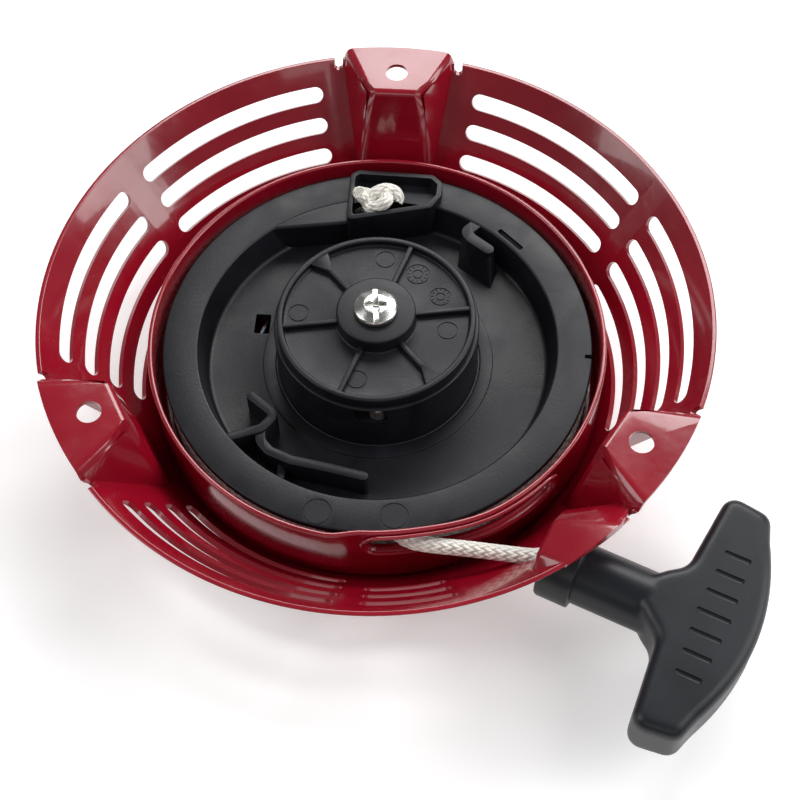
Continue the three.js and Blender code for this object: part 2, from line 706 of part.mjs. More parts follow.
function ratchetGuide() {
  const plateTop = guideLow + guidePlate;
  const neckBore = postNeck + gap;
  const tipBore = postTip + gap;
  const screwBore = screwSize / 2 + 0.4;
  let body = turned([
    [screwBore, bossTop], [bossRadius, bossTop], [bossRadius, plateTop],
    [guideRadius - guideRim, plateTop], [guideRadius - guideRim, guideRimTop],
    [guideRadius, guideRimTop], [guideRadius, guideLow],
    [neckBore + guideNeck, guideLow], [neckBore + guideNeck, guideLow - 4.3],
    [neckBore, guideLow - 4.3], [neckBore, guideLow], [tipBore, guideLow],
    [tipBore, bossRoof], [screwBore, bossRoof],
  ], smallSides);
  const ribAngles = [10, 72, 133, 190, 252, 312];
  for (const angle of ribAngles) {
    const rib = block(
      bossRadius - 1, guideRadius - 1, -0.7, 0.7, guideLow + 0.5, guideRimTop - 0.4,
    );
    body = body.add(rib.rotate([0, 0, angle]));
  }
  for (const angle of [133, 312]) {
    const corners = [[guideRadius - 8, 0], [guideRadius - 1.2, -3.6], [guideRadius - 1.2, 3.6]];
    const wedge = raised(plan(corners), guideLow + 0.5, guideRimTop - 0.3);
    body = body.add(wedge.rotate([0, 0, angle]));
  }
  return body;
}

add('ratchet_guide', ratchetGuide(), blackNylon);

// Open wire ring that grips the guide's neck, its ends turned out.
function frictionSpring() {
  const radius = postNeck + gap + guideNeck + 0.2 + frictionWire / 2;
  const height = guideLow - 2.2;
  const points = [polar(radius + 1.1, 12, height)];
  for (let a = 20; a <= 340; a += 20) points.push(polar(radius, a, height));
  points.push(polar(radius + 1.1, 348, height));
  return tube(points, frictionWire / 2, 6, 26);
}

add('friction_spring', frictionSpring(), brightSteel);

function guideScrew() {
  const low = bossTop + gap;
  const high = low + screwHeadTall;
  const r = screwHead / 2;
  let body = turned([
    [0, 15], [screwSize / 2 - 0.5, 15], [screwSize / 2, 16], [screwSize / 2, low],
    [r, low], [r, high - 0.9], [r - 0.9, high], [0, high],
  ], 24);
  body = body.subtract(block(-0.8, 0.8, -r - 1, r + 1, high - 1.1, high + 1).rotate([0, 0, 6]));
  return body.subtract(block(-3, 3, -0.65, 0.65, high - 1.8, high + 1).rotate([0, 0, 6]));
}

add('guide_screw', guideScrew(), zincPlate);

// ------------------------------------------------------------------------ grip
// Built along +X from the outlet, then placed.
const grip = new THREE.Group();
grip.position.copy(outlet);
grip.rotation.z = gripAngle;
starter.add(grip);

// Cross bar's outline: bowed outer face, rounded ends, fillets into the stem.
function barOutline() {
  const fillet = 6;
  const filletX = barInner - fillet;
  const filletY = stemRadius + fillet;
  const endRound = 4;
  const half = [
    new THREE.Vector2(filletX - 3, stemRadius - 0.6),
    ...arc(filletX, filletY, fillet, -90, 0, 5),
    ...arc(barInner + 1.5 + endRound, barHalf - endRound, endRound, 180, 90, 4),
    ...arc(barEnd - endRound, barHalf - 0.8 - endRound, endRound, 80, 10, 4),
  ];
  const bow = [];
  for (const t of [-0.66, -0.33, 0, 0.33, 0.66]) {
    bow.push(new THREE.Vector2(barEnd + (barOuter - barEnd) * (1 - t * t), -t * (barHalf - 5)));
  }
  const mirrored = half.map((p) => new THREE.Vector2(p.x, -p.y)).reverse();
  return [...half, ...bow, ...mirrored];
}

function alongX(corners, segments) {
  return turned(corners, segments).rotate([0, 90, 0]);
}

function pullGrip() {
  const bevel = 2.6;
  const shape = new THREE.Shape(barOutline());
  const bar = new THREE.ExtrudeGeometry(shape, {
    depth: barThick - 2 * bevel,
    bevelThickness: bevel,
    bevelSize: bevel,
    bevelOffset: -bevel,
    bevelSegments: 2,
  });
  let body = solid(bar.translate(0, 0, -barThick / 2 + bevel));
  body = body.add(alongX([
    [0, 0.4], [collarRadius - 1.6, 0.4], [collarRadius, 2], [collarRadius, collarLength],
    [stemRadius + 0.4, collarLength + 0.8], [stemRadius, collarLength + 1.6],
    [stemRadius, barInner + 3], [0, barInner + 3],
  ], 32));
  const bore = [[0, -1], [ropeBore / 2, -1], [ropeBore / 2, knotSeat + 1], [0, knotSeat + 1]];
  body = body.subtract(alongX(bore, 16));
  const [w, h] = knotPocket;
  return body.subtract(block(knotSeat, barOuter + 4, -w / 2, w / 2, -h / 2, h / 2));
}

add('pull_grip', pullGrip(), gripPlastic, grip);

const [pocketWide, pocketHigh] = knotPocket;
const plateStart = knotSeat + gap;
const plateHole = [
  [0, knotSeat], [ropeBore / 2, knotSeat], [ropeBore / 2, knotSeat + 4], [0, knotSeat + 4],
];
const plate = block(
  plateStart, plateStart + plateThick, -pocketWide / 2 + gap, pocketWide / 2 - gap,
  -pocketHigh / 2 + gap, pocketHigh / 2 - gap,
).subtract(alongX(plateHole, 16));
add('grip_reinforcement', plate, brightSteel, grip);

const runEnd = plateStart + plateThick + 0.1;
const gripRun = alongX([[0, 0.5], [ropeSize / 2, 0.5], [ropeSize / 2, runEnd], [0, runEnd]], 10);
add('rope_grip_run', gripRun, whiteRope, grip);

const gripKnotRadii = [4.2, 5.4, 3.9];
const gripKnot = new THREE.IcosahedronGeometry(1, 1).scale(...gripKnotRadii);
gripKnot.translate(runEnd + gap + gripKnotRadii[0], 0, 0);
add('rope_grip_knot', solid(gripKnot), whiteRope, grip);

export default starter;
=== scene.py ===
"""Recoil starter: pressed steel cover, rope reel, ratchet guide and pull grip."""
import math

import bpy
from bpy.props import FloatProperty, FloatVectorProperty, IntProperty, PointerProperty
from mathutils import Matrix, Vector


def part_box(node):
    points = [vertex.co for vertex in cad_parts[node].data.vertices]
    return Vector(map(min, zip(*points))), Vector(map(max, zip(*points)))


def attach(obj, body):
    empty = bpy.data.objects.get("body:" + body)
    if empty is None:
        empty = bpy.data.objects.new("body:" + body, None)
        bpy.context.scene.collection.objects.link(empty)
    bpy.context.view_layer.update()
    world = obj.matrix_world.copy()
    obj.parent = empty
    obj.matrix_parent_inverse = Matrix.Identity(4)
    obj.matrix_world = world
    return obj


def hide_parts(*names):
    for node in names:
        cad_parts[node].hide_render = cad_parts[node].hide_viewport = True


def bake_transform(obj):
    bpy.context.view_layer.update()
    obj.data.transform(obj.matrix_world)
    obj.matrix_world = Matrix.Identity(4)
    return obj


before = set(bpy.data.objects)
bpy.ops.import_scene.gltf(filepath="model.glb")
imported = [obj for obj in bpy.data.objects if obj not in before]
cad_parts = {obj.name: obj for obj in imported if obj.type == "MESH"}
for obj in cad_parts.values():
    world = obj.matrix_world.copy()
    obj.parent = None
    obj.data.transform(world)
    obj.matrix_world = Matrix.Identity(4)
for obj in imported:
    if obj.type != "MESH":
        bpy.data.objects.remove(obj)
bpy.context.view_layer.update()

bl_info = {
    "name": "Recoil starter",
    "version": (1, 0, 0),
    "blender": (4, 5, 0),
    "location": "View3D > Sidebar > Starter",
    "description": "Models the pieces of a small engine's recoil starter",
    "category": "Add Mesh",
}

# Helpers take millimetres and degrees; Blender works in metres.
MM = 0.001
AXIS_RADIUS = 0.001          # a ring this small is merged into a point on the axis
MERGE = 2e-6                 # metres

COVER_HIGH, CUP_HIGH, REEL_HIGH, SCREW_HIGH = (
    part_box(node)[1] for node in ("outer_cover", "reel_cup", "starter_reel", "guide_screw")
)


def linear(code):
    """Linear RGBA of an sRGB hex colour."""
    values = [int(code[i:i + 2], 16) / 255 for i in (1, 3, 5)]
    curve = [v / 12.92 if v <= 0.04045 else ((v + 0.055) / 1.055) ** 2.4 for v in values]
    return (*curve, 1.0)


# --------------------------------------------------------------- sizes and colours
def length(name, description, default):
    return FloatProperty(name=name, description=description, default=default, unit="LENGTH")


def sides(name, description, default):
    return IntProperty(name=name, description=description, default=default, min=24)


class StarterSizes(bpy.types.PropertyGroup):
    """Sizes of the starter that can be set by themselves."""

    rim_radius: length("Rim radius", "Outside radius of the cover's rim", COVER_HIGH.x)
    ear_height: length("Ear height", "Top of the three bolting pads", COVER_HIGH.z)
    ear_rise: length("Ear rise", "How far the pads stand above the rim", 0.003)
    sheet: length("Cover sheet", "Thickness of the cover's steel", 0.0012)
    skirt_slope: FloatProperty(
        name="Skirt slope", description="Rise of the skirt from the horizontal",
        default=math.radians(54), subtype="ANGLE",
    )
    slot_width: length("Slot width", "Width of a cooling slot down the slope", 0.0051)
    rope_size: length("Rope size", "Diameter of the braided rope", 0.0042)
    reel_radius: length("Reel radius", "Outside radius of the reel's flanges", REEL_HIGH.x)
    cover_sides: sides("Cover sides", "Flats round the cover", 180)
    reel_sides: sides("Reel sides", "Flats round the reel", 144)


def colour(name, description, code):
    return FloatVectorProperty(
        name=name, description=description, default=linear(code), size=4,
        subtype="COLOR", min=0, max=1,
    )


class StarterColours(bpy.types.PropertyGroup):
    """Colours of the starter's finishes."""

    enamel: colour("Enamel", "Red of the cover and the cup", "#900A20")
    nylon: colour("Nylon", "Black of the reel and the guide", "#121319")
    grip: colour("Grip", "Black of the pull grip", "#1B1D22")
    rope: colour("Rope", "Off-white of the rope", "#F5F2E9")
    zinc: colour("Zinc", "Bright plating of the screw", "#D9DAD6")
    steel: colour("Steel", "Hardened steel of the pawls", "#D2D3D1")
    floor: colour("Floor", "Pale floor", "#F4F4F4")


def sizes():
    return bpy.context.scene.starter_sizes


def colours():
    return bpy.context.scene.starter_colours


def mm(length):
    return length / MM


# ------------------------------------------------------------------- plan geometry
def polar(radius, degrees):
    angle = math.radians(degrees)
    return (radius * math.cos(angle), radius * math.sin(angle))


def arc(cx, cy, radius, start, end, steps):
    """Points on a circular arc, both ends included."""
    points = []
    for i in range(steps + 1):
        x, y = polar(radius, start + (end - start) * i / steps)
        points.append((cx + x, cy + y))
    return points


def filleted(points, radii, steps=4, closed=False):
    """Path with the corner at each point rounded to its radius."""
    count = len(points)
    if not isinstance(radii, (list, tuple)):
        radii = [radii] * count
    path = []
    for i, point in enumerate(points):
        here = Vector(point)
        at_end = not closed and i in (0, count - 1)
        before = Vector(points[i - 1]) - here
        after = Vector(points[(i + 1) % count]) - here
        if at_end or radii[i] <= 0 or before.length < 1e-6 or after.length < 1e-6:
            path.append(tuple(here))
            continue
        half = before.angle(after) / 2
        if half > math.radians(88):
            path.append(tuple(here))
            continue
        back = min(radii[i] / math.tan(half), 0.48 * before.length, 0.48 * after.length)
        start = here + before.normalized() * back
        end = here + after.normalized() * back
        for k in range(steps + 1):
            t = k / steps
            curve = start * (1 - t) ** 2 + here * 2 * t * (1 - t) + end * t ** 2
            path.append(tuple(curve))
    return path


def smooth_step(t):
    t = max(0.0, min(1.0, t))
    return t * t * (3 - 2 * t)


# ------------------------------------------------------------------ mesh by operators
def deselect():
    if bpy.context.object and bpy.context.object.mode != "OBJECT":
        bpy.ops.object.mode_set(mode="OBJECT")
    bpy.ops.object.select_all(action="DESELECT")


def pick(*pieces):
    """Selects these pieces alone; the first is the active one."""
    deselect()
    for piece in pieces:
        piece.select_set(True)
    bpy.context.view_layer.objects.active = pieces[0]


def named(name):
    """The primitive just added, its place put in its mesh."""
    piece = bpy.context.object
    piece.name = name
    piece.data.name = name
    bpy.ops.object.transform_apply(location=True, rotation=True, scale=True)
    return piece


def open_up(piece):
    """Edit mode, with all of the piece's mesh selected."""
    pick(piece)
    bpy.ops.object.mode_set(mode="EDIT")
    bpy.ops.mesh.select_all(action="SELECT")


def close_up(piece):
    """Merges doubled corners and turns the faces outwards."""
    open_up(piece)
    bpy.ops.mesh.remove_doubles(threshold=MERGE)
    bpy.ops.mesh.dissolve_degenerate(threshold=MERGE)
    bpy.ops.mesh.normals_make_consistent(inside=False)
    bpy.ops.object.mode_set(mode="OBJECT")
    return piece


def turned(name, profile, sides):
    """Body of revolution: a ring is drawn through the (radius, height) corners."""
    radius, height = profile[0]
    radius = max(radius, AXIS_RADIUS)
    deselect()
    bpy.ops.mesh.primitive_circle_add(
        vertices=sides, radius=radius * MM, location=(0, 0, height * MM),
    )
    piece = named(name)
    open_up(piece)
    for next_radius, next_height in profile[1:]:
        next_radius = max(next_radius, AXIS_RADIUS)
        step = {"value": (0, 0, (next_height - height) * MM)}
        bpy.ops.mesh.extrude_region_move(TRANSFORM_OT_translate=step)
        k = next_radius / radius
        bpy.ops.transform.resize(value=(k, k, 1), center_override=(0, 0, 0))
        radius, height = next_radius, next_height
    bpy.ops.object.mode_set(mode="OBJECT")
    return close_up(piece)


def prism(name, outline, low, high):
    """Flat outline in plan, drawn up from low to high."""
    deselect()
    bpy.ops.mesh.primitive_circle_add(vertices=len(outline), fill_type="NGON")
    piece = named(name)
    for vertex, (x, y) in zip(piece.data.vertices, outline):
        vertex.co = (x * MM, y * MM, low * MM)
    open_up(piece)
    step = {"value": (0, 0, (high - low) * MM)}
    bpy.ops.mesh.extrude_region_move(TRANSFORM_OT_translate=step)
    bpy.ops.object.mode_set(mode="OBJECT")
    return close_up(piece)


def hulled(name, corners):
    """Convex solid round the corners."""
    deselect()
    bpy.ops.mesh.primitive_circle_add(vertices=len(corners))
    piece = named(name)
    for vertex, corner in zip(piece.data.vertices, corners):
        vertex.co = Vector(corner) * MM
    open_up(piece)
    bpy.ops.mesh.convex_hull(face_threshold=0.01, shape_threshold=0.01)
    bpy.ops.mesh.select_all(action="SELECT")
    bpy.ops.mesh.dissolve_limited(angle_limit=math.radians(1.0))
    bpy.ops.mesh.normals_make_consistent(inside=False)
    bpy.ops.object.mode_set(mode="OBJECT")
    return piece


def latticed(name, rows):
    """Sheet of four-sided faces whose corners lie at the rows of points."""
    deselect()
    bpy.ops.mesh.primitive_grid_add(x_subdivisions=len(rows[0]) - 1, y_subdivisions=len(rows) - 1)
    sheet = named(name)
    for vertex, point in zip(sheet.data.vertices, (point for row in rows for point in row)):
        vertex.co = Vector(point) * MM
    return sheet


def block(name, low, high):
    low, high = Vector(low) * MM, Vector(high) * MM
    deselect()
    bpy.ops.mesh.primitive_cube_add(size=1, location=(low + high) / 2, scale=high - low)
    return named(name)


def rod(name, radius, start, end, sides=48):
    """Cylinder from one point to another."""
    start, end = Vector(start) * MM, Vector(end) * MM
    turn = (end - start).to_track_quat("Z", "Y").to_euler()
    deselect()
    bpy.ops.mesh.primitive_cylinder_add(
        vertices=sides, radius=radius * MM, depth=(end - start).length,
        location=(start + end) / 2, rotation=turn,
    )
    return named(name)


def modified(piece, kind, **settings):
    """Adds a modifier and applies it."""
    pick(piece)
    modifier = piece.modifiers.new(kind.title(), kind)
    for key, value in settings.items():
        setattr(modifier, key, value)
    bpy.ops.object.modifier_apply(modifier=modifier.name)
    return piece


def bevelled(piece, width, segments=3, angle=30):
    return modified(
        piece, "BEVEL", width=width * MM, segments=segments, limit_method="ANGLE",
        angle_limit=math.radians(angle), use_clamp_overlap=True, miter_outer="MITER_ARC",
    )


def combined(piece, tool, operation):
    """Joins, cuts or keeps what two solids share; the tool is used up."""
    modified(piece, "BOOLEAN", operation=operation, solver="MANIFOLD", object=tool)
    bpy.data.objects.remove(tool)
    return piece


def united(piece, *tools):
    for tool in tools:
        combined(piece, tool, "UNION")
    return piece


def cut(piece, *tools):
    for tool in tools:
        combined(piece, tool, "DIFFERENCE")
    return piece


def shared(piece, tool):
    return combined(piece, tool, "INTERSECT")


def joined(name, pieces):
    """Pieces made one object, their shells kept apart."""
    pick(*pieces)
    if len(pieces) > 1:
        bpy.ops.object.join()
    pieces[0].name = name
    return pieces[0]


def turned_round(piece, degrees):
    """Turned about the reel's axis, its place kept in its mesh."""
    piece.data.transform(Matrix.Rotation(math.radians(degrees), 4, "Z"))
    return piece


def copied(piece, name):
    """A copy with a mesh of its own."""
    pick(piece)
    bpy.ops.object.duplicate()
    twin = bpy.context.object
    twin.name = name
    return twin


def smoothed(piece, degrees=35):
    """Smooth shading, with an edge kept where faces meet more sharply."""
    pick(piece)
    bpy.ops.object.shade_smooth_by_angle(angle=math.radians(degrees))
    return piece


def finished(piece, body, slot, material, *nodes):
    """Gives a piece its material and its body, and hides the CAD nodes that it stands for."""
    piece.data.materials.clear()
    piece.data.materials.append(material)
    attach(piece, body)
    if nodes:
        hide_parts(*nodes)
    return piece


# ------------------------------------------------------------------------ materials
def add_node(tree, kind, inputs=(), stops=(), **settings):
    """Adds a node; settings are its properties or the values of its sockets.

    inputs, in order or by name, are values or the sockets that are linked to it.  stops are
    a colour ramp's (position, colour) pairs, in which a number is a grey.
    """
    node = tree.nodes.new(kind)
    for key, value in settings.items():
        if hasattr(node, key):
            setattr(node, key, value)
        else:
            node.inputs[key.replace("_", " ")].default_value = value
    for key, value in inputs.items() if isinstance(inputs, dict) else enumerate(inputs):
        if isinstance(value, bpy.types.NodeSocket):
            tree.links.new(value, node.inputs[key])
        else:
            node.inputs[key].default_value = value
    if stops:
        elements = node.color_ramp.elements
        elements.remove(elements[1])
        for i, (position, value) in enumerate(stops):
            element = elements[0] if i == 0 else elements.new(position)
            element.position = position
            element.color = value if hasattr(value, "__len__") else (value, value, value, 1)
    return node


def new_material(name):
    material = bpy.data.materials.new(name)
    material.use_nodes = True
    tree = material.node_tree
    return material, tree, tree.nodes["Principled BSDF"]


def set_shader(shader, **values):
    for key, value in values.items():
        shader.inputs[key.replace("_", " ")].default_value = value


def scale_of(millimetres):
    """Noise or Voronoi scale whose features are that far apart."""
    return 1 / (millimetres * MM)


def tinted(base, factor):
    return (*[min(1, c * factor) for c in tuple(base)[:3]], 1)


def clouded(tree, shader, base, spacing, tints, roughs, **settings):
    """Colour and gloss that drift in clouds, whose size is in millimetres."""
    place = add_node(tree, "ShaderNodeTexCoord").outputs["Object"]
    cloud = add_node(
        tree, "ShaderNodeTexNoise", {"Vector": place}, Scale=scale_of(spacing), **settings,
    )
    tints = [(at, tinted(base, factor)) for at, factor in tints]
    for socket, stops in (("Base Color", tints), ("Roughness", roughs)):
        if stops:
            grade = add_node(tree, "ShaderNodeValToRGB", [cloud.outputs["Fac"]], stops)
            tree.links.new(grade.outputs["Color"], shader.inputs[socket])


def grained(tree, shader, spacing, strength, depth, **settings):
    """Fine relief: the spacing of its grains and its depth are in millimetres.

    Grains that are too fine to be seen are drawn as coarse as they need to be to show.
    """
    place = add_node(tree, "ShaderNodeTexCoord").outputs["Object"]
    grain = add_node(
        tree, "ShaderNodeTexNoise", {"Vector": place}, Scale=scale_of(spacing), **settings,
    )
    relief = add_node(
        tree, "ShaderNodeBump", {"Height": grain.outputs["Fac"]},
        Strength=strength, Distance=depth * MM,
    )
    tree.links.new(relief.outputs["Normal"], shader.inputs["Normal"])


def stove_enamel():
    """Gloss stove enamel sprayed on pressed steel.

    The film levels out glassy, with a long soft orange-peel ripple, a slightly deeper
    red where it pools, and grey specks of dust.
    """
    material, tree, shader = new_material("stove_enamel_on_pressed_steel")
    base = colours().enamel
    clouded(tree, shader, base, 38, [(0.3, 0.8), (0.7, 1.08)], [], Detail=3.0)
    grained(tree, shader, 2.6, 0.10, 0.4, Detail=2.0, Roughness=0.4)
    clouded(tree, shader, base, 9, [], [(0.35, 0.16), (0.62, 0.24), (0.75, 0.34)], Detail=6.0)
    set_shader(shader, IOR=1.5, Coat_Weight=0.7, Coat_Roughness=0.06, Coat_IOR=1.5)
    return material


def moulded_nylon():
    """Glass-filled nylon, injection moulded.

    Satin black; the glass fibre near the skin leaves faint grey flow marks, and the
    mould's spark-eroded face a fine grain.
    """
    material, tree, shader = new_material("moulded_glass_filled_nylon")
    clouded(
        tree, shader, colours().nylon, 16, [(0.3, 0.75), (0.75, 1.35)], [(0.3, 0.36), (0.7, 0.5)],
        Detail=5.0, Distortion=1.2,
    )
    grained(tree, shader, 0.7, 0.16, 0.25, Detail=4.0, Roughness=0.6)
    set_shader(shader, IOR=1.53, Specular_IOR_Level=0.32)
    return material


def moulded_grip():
    """Polypropylene, injection moulded, handled.

    Softer black than the reel's, with a fine even grain that is worn a little
    smoother in patches.
    """
    material, tree, shader = new_material("moulded_polypropylene")
    clouded(
        tree, shader, colours().grip, 22, [(0.3, 0.85), (0.7, 1.2)], [(0.3, 0.33), (0.7, 0.46)],
        Detail=4.0,
    )
    grained(tree, shader, 0.5, 0.12, 0.2, Detail=3.0, Roughness=0.6)
    set_shader(shader, IOR=1.49, Specular_IOR_Level=0.36)
    return material


def bright_zinc():
    """Zinc electroplate on a rolled screw: bright, clear-passivated, faintly clouded."""
    material, tree, shader = new_material("bright_zinc_plate")
    clouded(
        tree, shader, colours().zinc, 2.4, [(0.3, 0.86), (0.7, 1.0)], [(0.35, 0.2), (0.7, 0.33)],
        Detail=4.0,
    )
    grained(tree, shader, 0.6, 0.15, 0.1, Detail=3.0)
    set_shader(shader, Metallic=1.0)
    return material


def hardened_steel(name, base, low, high):
    """Heat-treated steel: satin, with straw and grey clouds left by the quench."""
    material, tree, shader = new_material(name)
    clouded(tree, shader, base, 5, [(0.3, 0.7), (0.7, 1.15)], [(0.3, low), (0.7, high)], Detail=5.0)
    grained(tree, shader, 0.4, 0.1, 0.1, Detail=2.0)
    set_shader(shader, Metallic=1.0)
    return material


def braided_rope():
    """Braided polyester cord.

    Sixteen plaits cross round the cord, eight each way; every plait is a flat bundle of
    bright filaments, drawn as coarse as they need to be to show.  The valleys are painted
    darker as shade, and the plait crowns a little lighter as a painted highlight.  U runs
    once round the cord and V counts the braid's lay.
    """
    material, tree, shader = new_material("braided_polyester_cord")
    base = colours().rope
    unrolled = add_node(tree, "ShaderNodeUVMap", uv_map="cord").outputs["UV"]
    u, v, _ = add_node(tree, "ShaderNodeSeparateXYZ", [unrolled]).outputs
    place = add_node(tree, "ShaderNodeTexCoord").outputs["Object"]
    strand = add_node(
        tree, "ShaderNodeTexNoise", {"Vector": place}, Scale=scale_of(0.45), Detail=3.0,
    )
    made = {"u": u, "v": v, "strand": strand.outputs["Fac"]}
    # Each step: its name, what the Math node does, and the names or numbers that it takes.
    steps = (
        ("turns", "MULTIPLY", "u", PLAITS),
        ("left", "ADD", "turns", "v"), ("right", "SUBTRACT", "turns", "v"),
        ("left_part", "FRACT", "left"), ("right_part", "FRACT", "right"),
        ("left_angle", "MULTIPLY", "left_part", math.pi),
        ("right_angle", "MULTIPLY", "right_part", math.pi),
        ("left_ridge", "SINE", "left_angle"), ("right_ridge", "SINE", "right_angle"),
        ("over_angle", "MULTIPLY", "left", math.pi), ("under_angle", "MULTIPLY", "right", math.pi),
        ("over", "SINE", "over_angle"), ("under", "SINE", "under_angle"),
        ("crossing", "MULTIPLY", "over", "under"), ("swap", "GREATER_THAN", "crossing", 0.0),
        ("between", "SUBTRACT", "right_ridge", "left_ridge"),
        ("top", "MULTIPLY_ADD", "swap", "between", "left_ridge"),
        ("filaments", "MULTIPLY", "strand", 0.35), ("height", "ADD", "top", "filaments"),
        # The last step scales the braid's height for the painted shade in its valleys.
        ("shade", "MULTIPLY", "height", 0.74),
    )
    for name, operation, *values in steps:
        values = [made.get(value, value) for value in values]
        made[name] = add_node(tree, "ShaderNodeMath", values, operation=operation).outputs[0]
    # Painted shade: the braid's valleys darken to half the rope's colour, and its crowns are lightened a
    # little as a painted highlight.
    tints = [(0.0, tinted(base, 0.5)), (0.4, tinted(base, 0.92)), (1.0, tinted(base, 1.04))]
    grade = add_node(tree, "ShaderNodeValToRGB", [made["shade"]], tints)
    tree.links.new(grade.outputs["Color"], shader.inputs["Base Color"])
    relief = add_node(
        tree, "ShaderNodeBump", {"Height": made["height"]}, Strength=0.7, Distance=0.4 * MM,
    )
    tree.links.new(relief.outputs["Normal"], shader.inputs["Normal"])
    set_shader(shader, Roughness=0.62, Sheen_Weight=0.3, Sheen_Roughness=0.4)
    return material


def painted_floor():
    """Matt card on a light table: pale, faintly mottled, and lit a little from below."""
    material, tree, shader = new_material("matt_white_card")
    clouded(tree, shader, colours().floor, 60, [(0.3, 0.985), (0.7, 1.0)], [], Detail=3.0)
    set_shader(shader, Roughness=0.9, Emission_Color=(1, 1, 1, 1), Emission_Strength=0.3)
    return material


MATERIALS = {
    "enamel": stove_enamel,
    "nylon": moulded_nylon,
    "grip": moulded_grip,
    "zinc": bright_zinc,
    "rope": braided_rope,
    "floor": painted_floor,
    "pawl_steel": lambda: hardened_steel("case_hardened_steel", colours().steel, 0.38, 0.5),
    "spring_steel": lambda: hardened_steel("blued_spring_steel", linear("#4A5058"), 0.3, 0.45),
    "turned_steel": lambda: hardened_steel("phosphated_steel", linear("#5C5F62"), 0.35, 0.5),
}
made_materials = {}


def material(key):
    """The finish of that name, made the first time that a piece asks for it."""
    if key not in made_materials:
        made_materials[key] = MATERIALS[key]()
    return made_materials[key]


# ------------------------------------------------------------------------- the cover
EAR_ANGLES = (90, 210, 330)
FOOT_HEIGHT = 5.0
BOLT_INSET = 10.56
BOLT_HOLE = 3.4              # radius
EAR_NOTCH = (17.51, 20.0)    # from an ear's middle to the notch in the rim beside it
OUTLET_AZIMUTH = -54.02
OUTLET_DROP = 15.0
OUTLET_PROUD = 0.77
GRIP_ANGLE = -22.4
OUTLET_RADIUS = 11.0
# First and last azimuth of each group of slots, and its rows.
SLOT_GROUPS = (
    (105.4, 147.4, 4), (152.4, 193.1, 4), (225.1, 267.4, 4),
    (271.4, 288.4, 3), (345.1, 387.8, 4), (32.4, 74.5, 4),
)
FIRST_SLOT = 7.9
SLOT_PITCH = 9.9
SLOT_CUT = 6                 # depth of the tool that cuts a slot


class Skirt:
    """The cover's cone: its measures in millimetres."""

    def __init__(self):
        values = sizes()
        self.sheet = mm(values.sheet)
        self.rim = mm(values.rim_radius)
        self.ear_top = mm(values.ear_height)
        self.height = self.ear_top - mm(values.ear_rise)
        self.slope = values.skirt_slope
        self.wall = self.sheet / math.sin(self.slope)
        self.foot = self.outer(FOOT_HEIGHT)
        self.bolt_circle = self.rim - BOLT_INSET

    def outer(self, z):
        return self.rim - (self.height - z) / math.tan(self.slope)

    def place(self, azimuth, down, out):
        """Point on the middle of the sheet: degrees, down the slope, outwards."""
        cosine, sine = math.cos(self.slope), math.sin(self.slope)
        radius = self.rim - self.wall / 2 - down * cosine + out * sine
        return (*polar(radius, azimuth), self.height - down * sine - out * cosine)

    def outlet(self):
        z = self.height - OUTLET_DROP
        return Vector((*polar(self.outer(z) + OUTLET_PROUD, OUTLET_AZIMUTH), z))


def pull_direction():
    return Vector((*polar(1, GRIP_ANGLE), 0))


def slot_cutter(name, start, end, radius, width, depth, place, station=1.6):
    """Round-ended slot laid along an azimuth: a strip of stations, made thick."""
    half = math.radians(end - start) * radius / 2
    r = width / 2
    turns = (8, 24, 40, 56, 72, 90)
    stations = [(-half + r * (1 - math.cos(math.radians(a))), r * math.sin(math.radians(a))) for a in turns]
    steps = max(2, round((end - start) / station))
    stations += [((half - r) * (2 * i / steps - 1), r) for i in range(1, steps)]
    stations += [(-x, across) for x, across in reversed(stations[:len(turns)])]
    middle = (start + end) / 2
    rows = [
        [place(middle + math.degrees(along / radius), side * across) for along, across in stations]
        for side in (-1, 1)
    ]
    cutter = latticed(name, rows)
    modified(cutter, "SOLIDIFY", thickness=depth * MM, offset=0)
    return close_up(cutter)


def skirt_slots(skirt):
    cutters = []
    width = mm(sizes().slot_width)
    for start, end, rows in SLOT_GROUPS:
        for row in range(rows):
            middle = FIRST_SLOT + SLOT_PITCH * row + width / 2
            radius = skirt.rim - skirt.wall / 2 - middle * math.cos(skirt.slope)
            place = lambda azimuth, side, m=middle: skirt.place(azimuth, m + side, 0)
            cutters.append(slot_cutter("slot", start, end, radius, width, SLOT_CUT, place))
    return joined("slots", cutters)


def ear_block(skirt, inset, rounding):
    """One ear's block, along +Y.  inset shrinks it to the space beneath the sheet."""
    reach = skirt.rim + 12
    top = skirt.ear_top - inset
    low = FOOT_HEIGHT - 2 - inset
    foot = skirt.foot + 0.3 + inset
    pad_inner = skirt.bolt_circle - 8.44 + inset
    half = [
        (7.6, pad_inner, top), (16.1, skirt.bolt_circle + 9.5, top), (16.1, reach, top),
        (17.5, reach, skirt.height - 1), (17.5, skirt.bolt_circle + 7, skirt.height - 1),
        (11.0, foot, low), (13.5, foot + 2.5, low), (13.5, reach, low),
    ]
    corners = [(side * (x - inset), y, z) for x, y, z in half for side in (-1, 1)]
    body = hulled("ear", corners)
    return bevelled(body, rounding, segments=5, angle=8)


def cover_shell(skirt):
    """Closed profile of the pressed sheet, turned."""
    s = skirt.sheet
    inside = skirt.foot - skirt.wall
    profile = [
        (0, 0), (skirt.foot - 2.4, 0), (skirt.foot - 0.2, 2.6), (skirt.rim, skirt.height),
        (skirt.rim - skirt.wall, skirt.height), (inside + 0.3, FOOT_HEIGHT - 0.9),
        (inside - 1.9, s), (0, s),
    ]
    radii = [0, 2.5, 3.0, 0.35, 0.35, 1.8, 1.6, 0]
    return turned("outer_cover_steel", filleted(profile, radii), sizes().cover_sides)


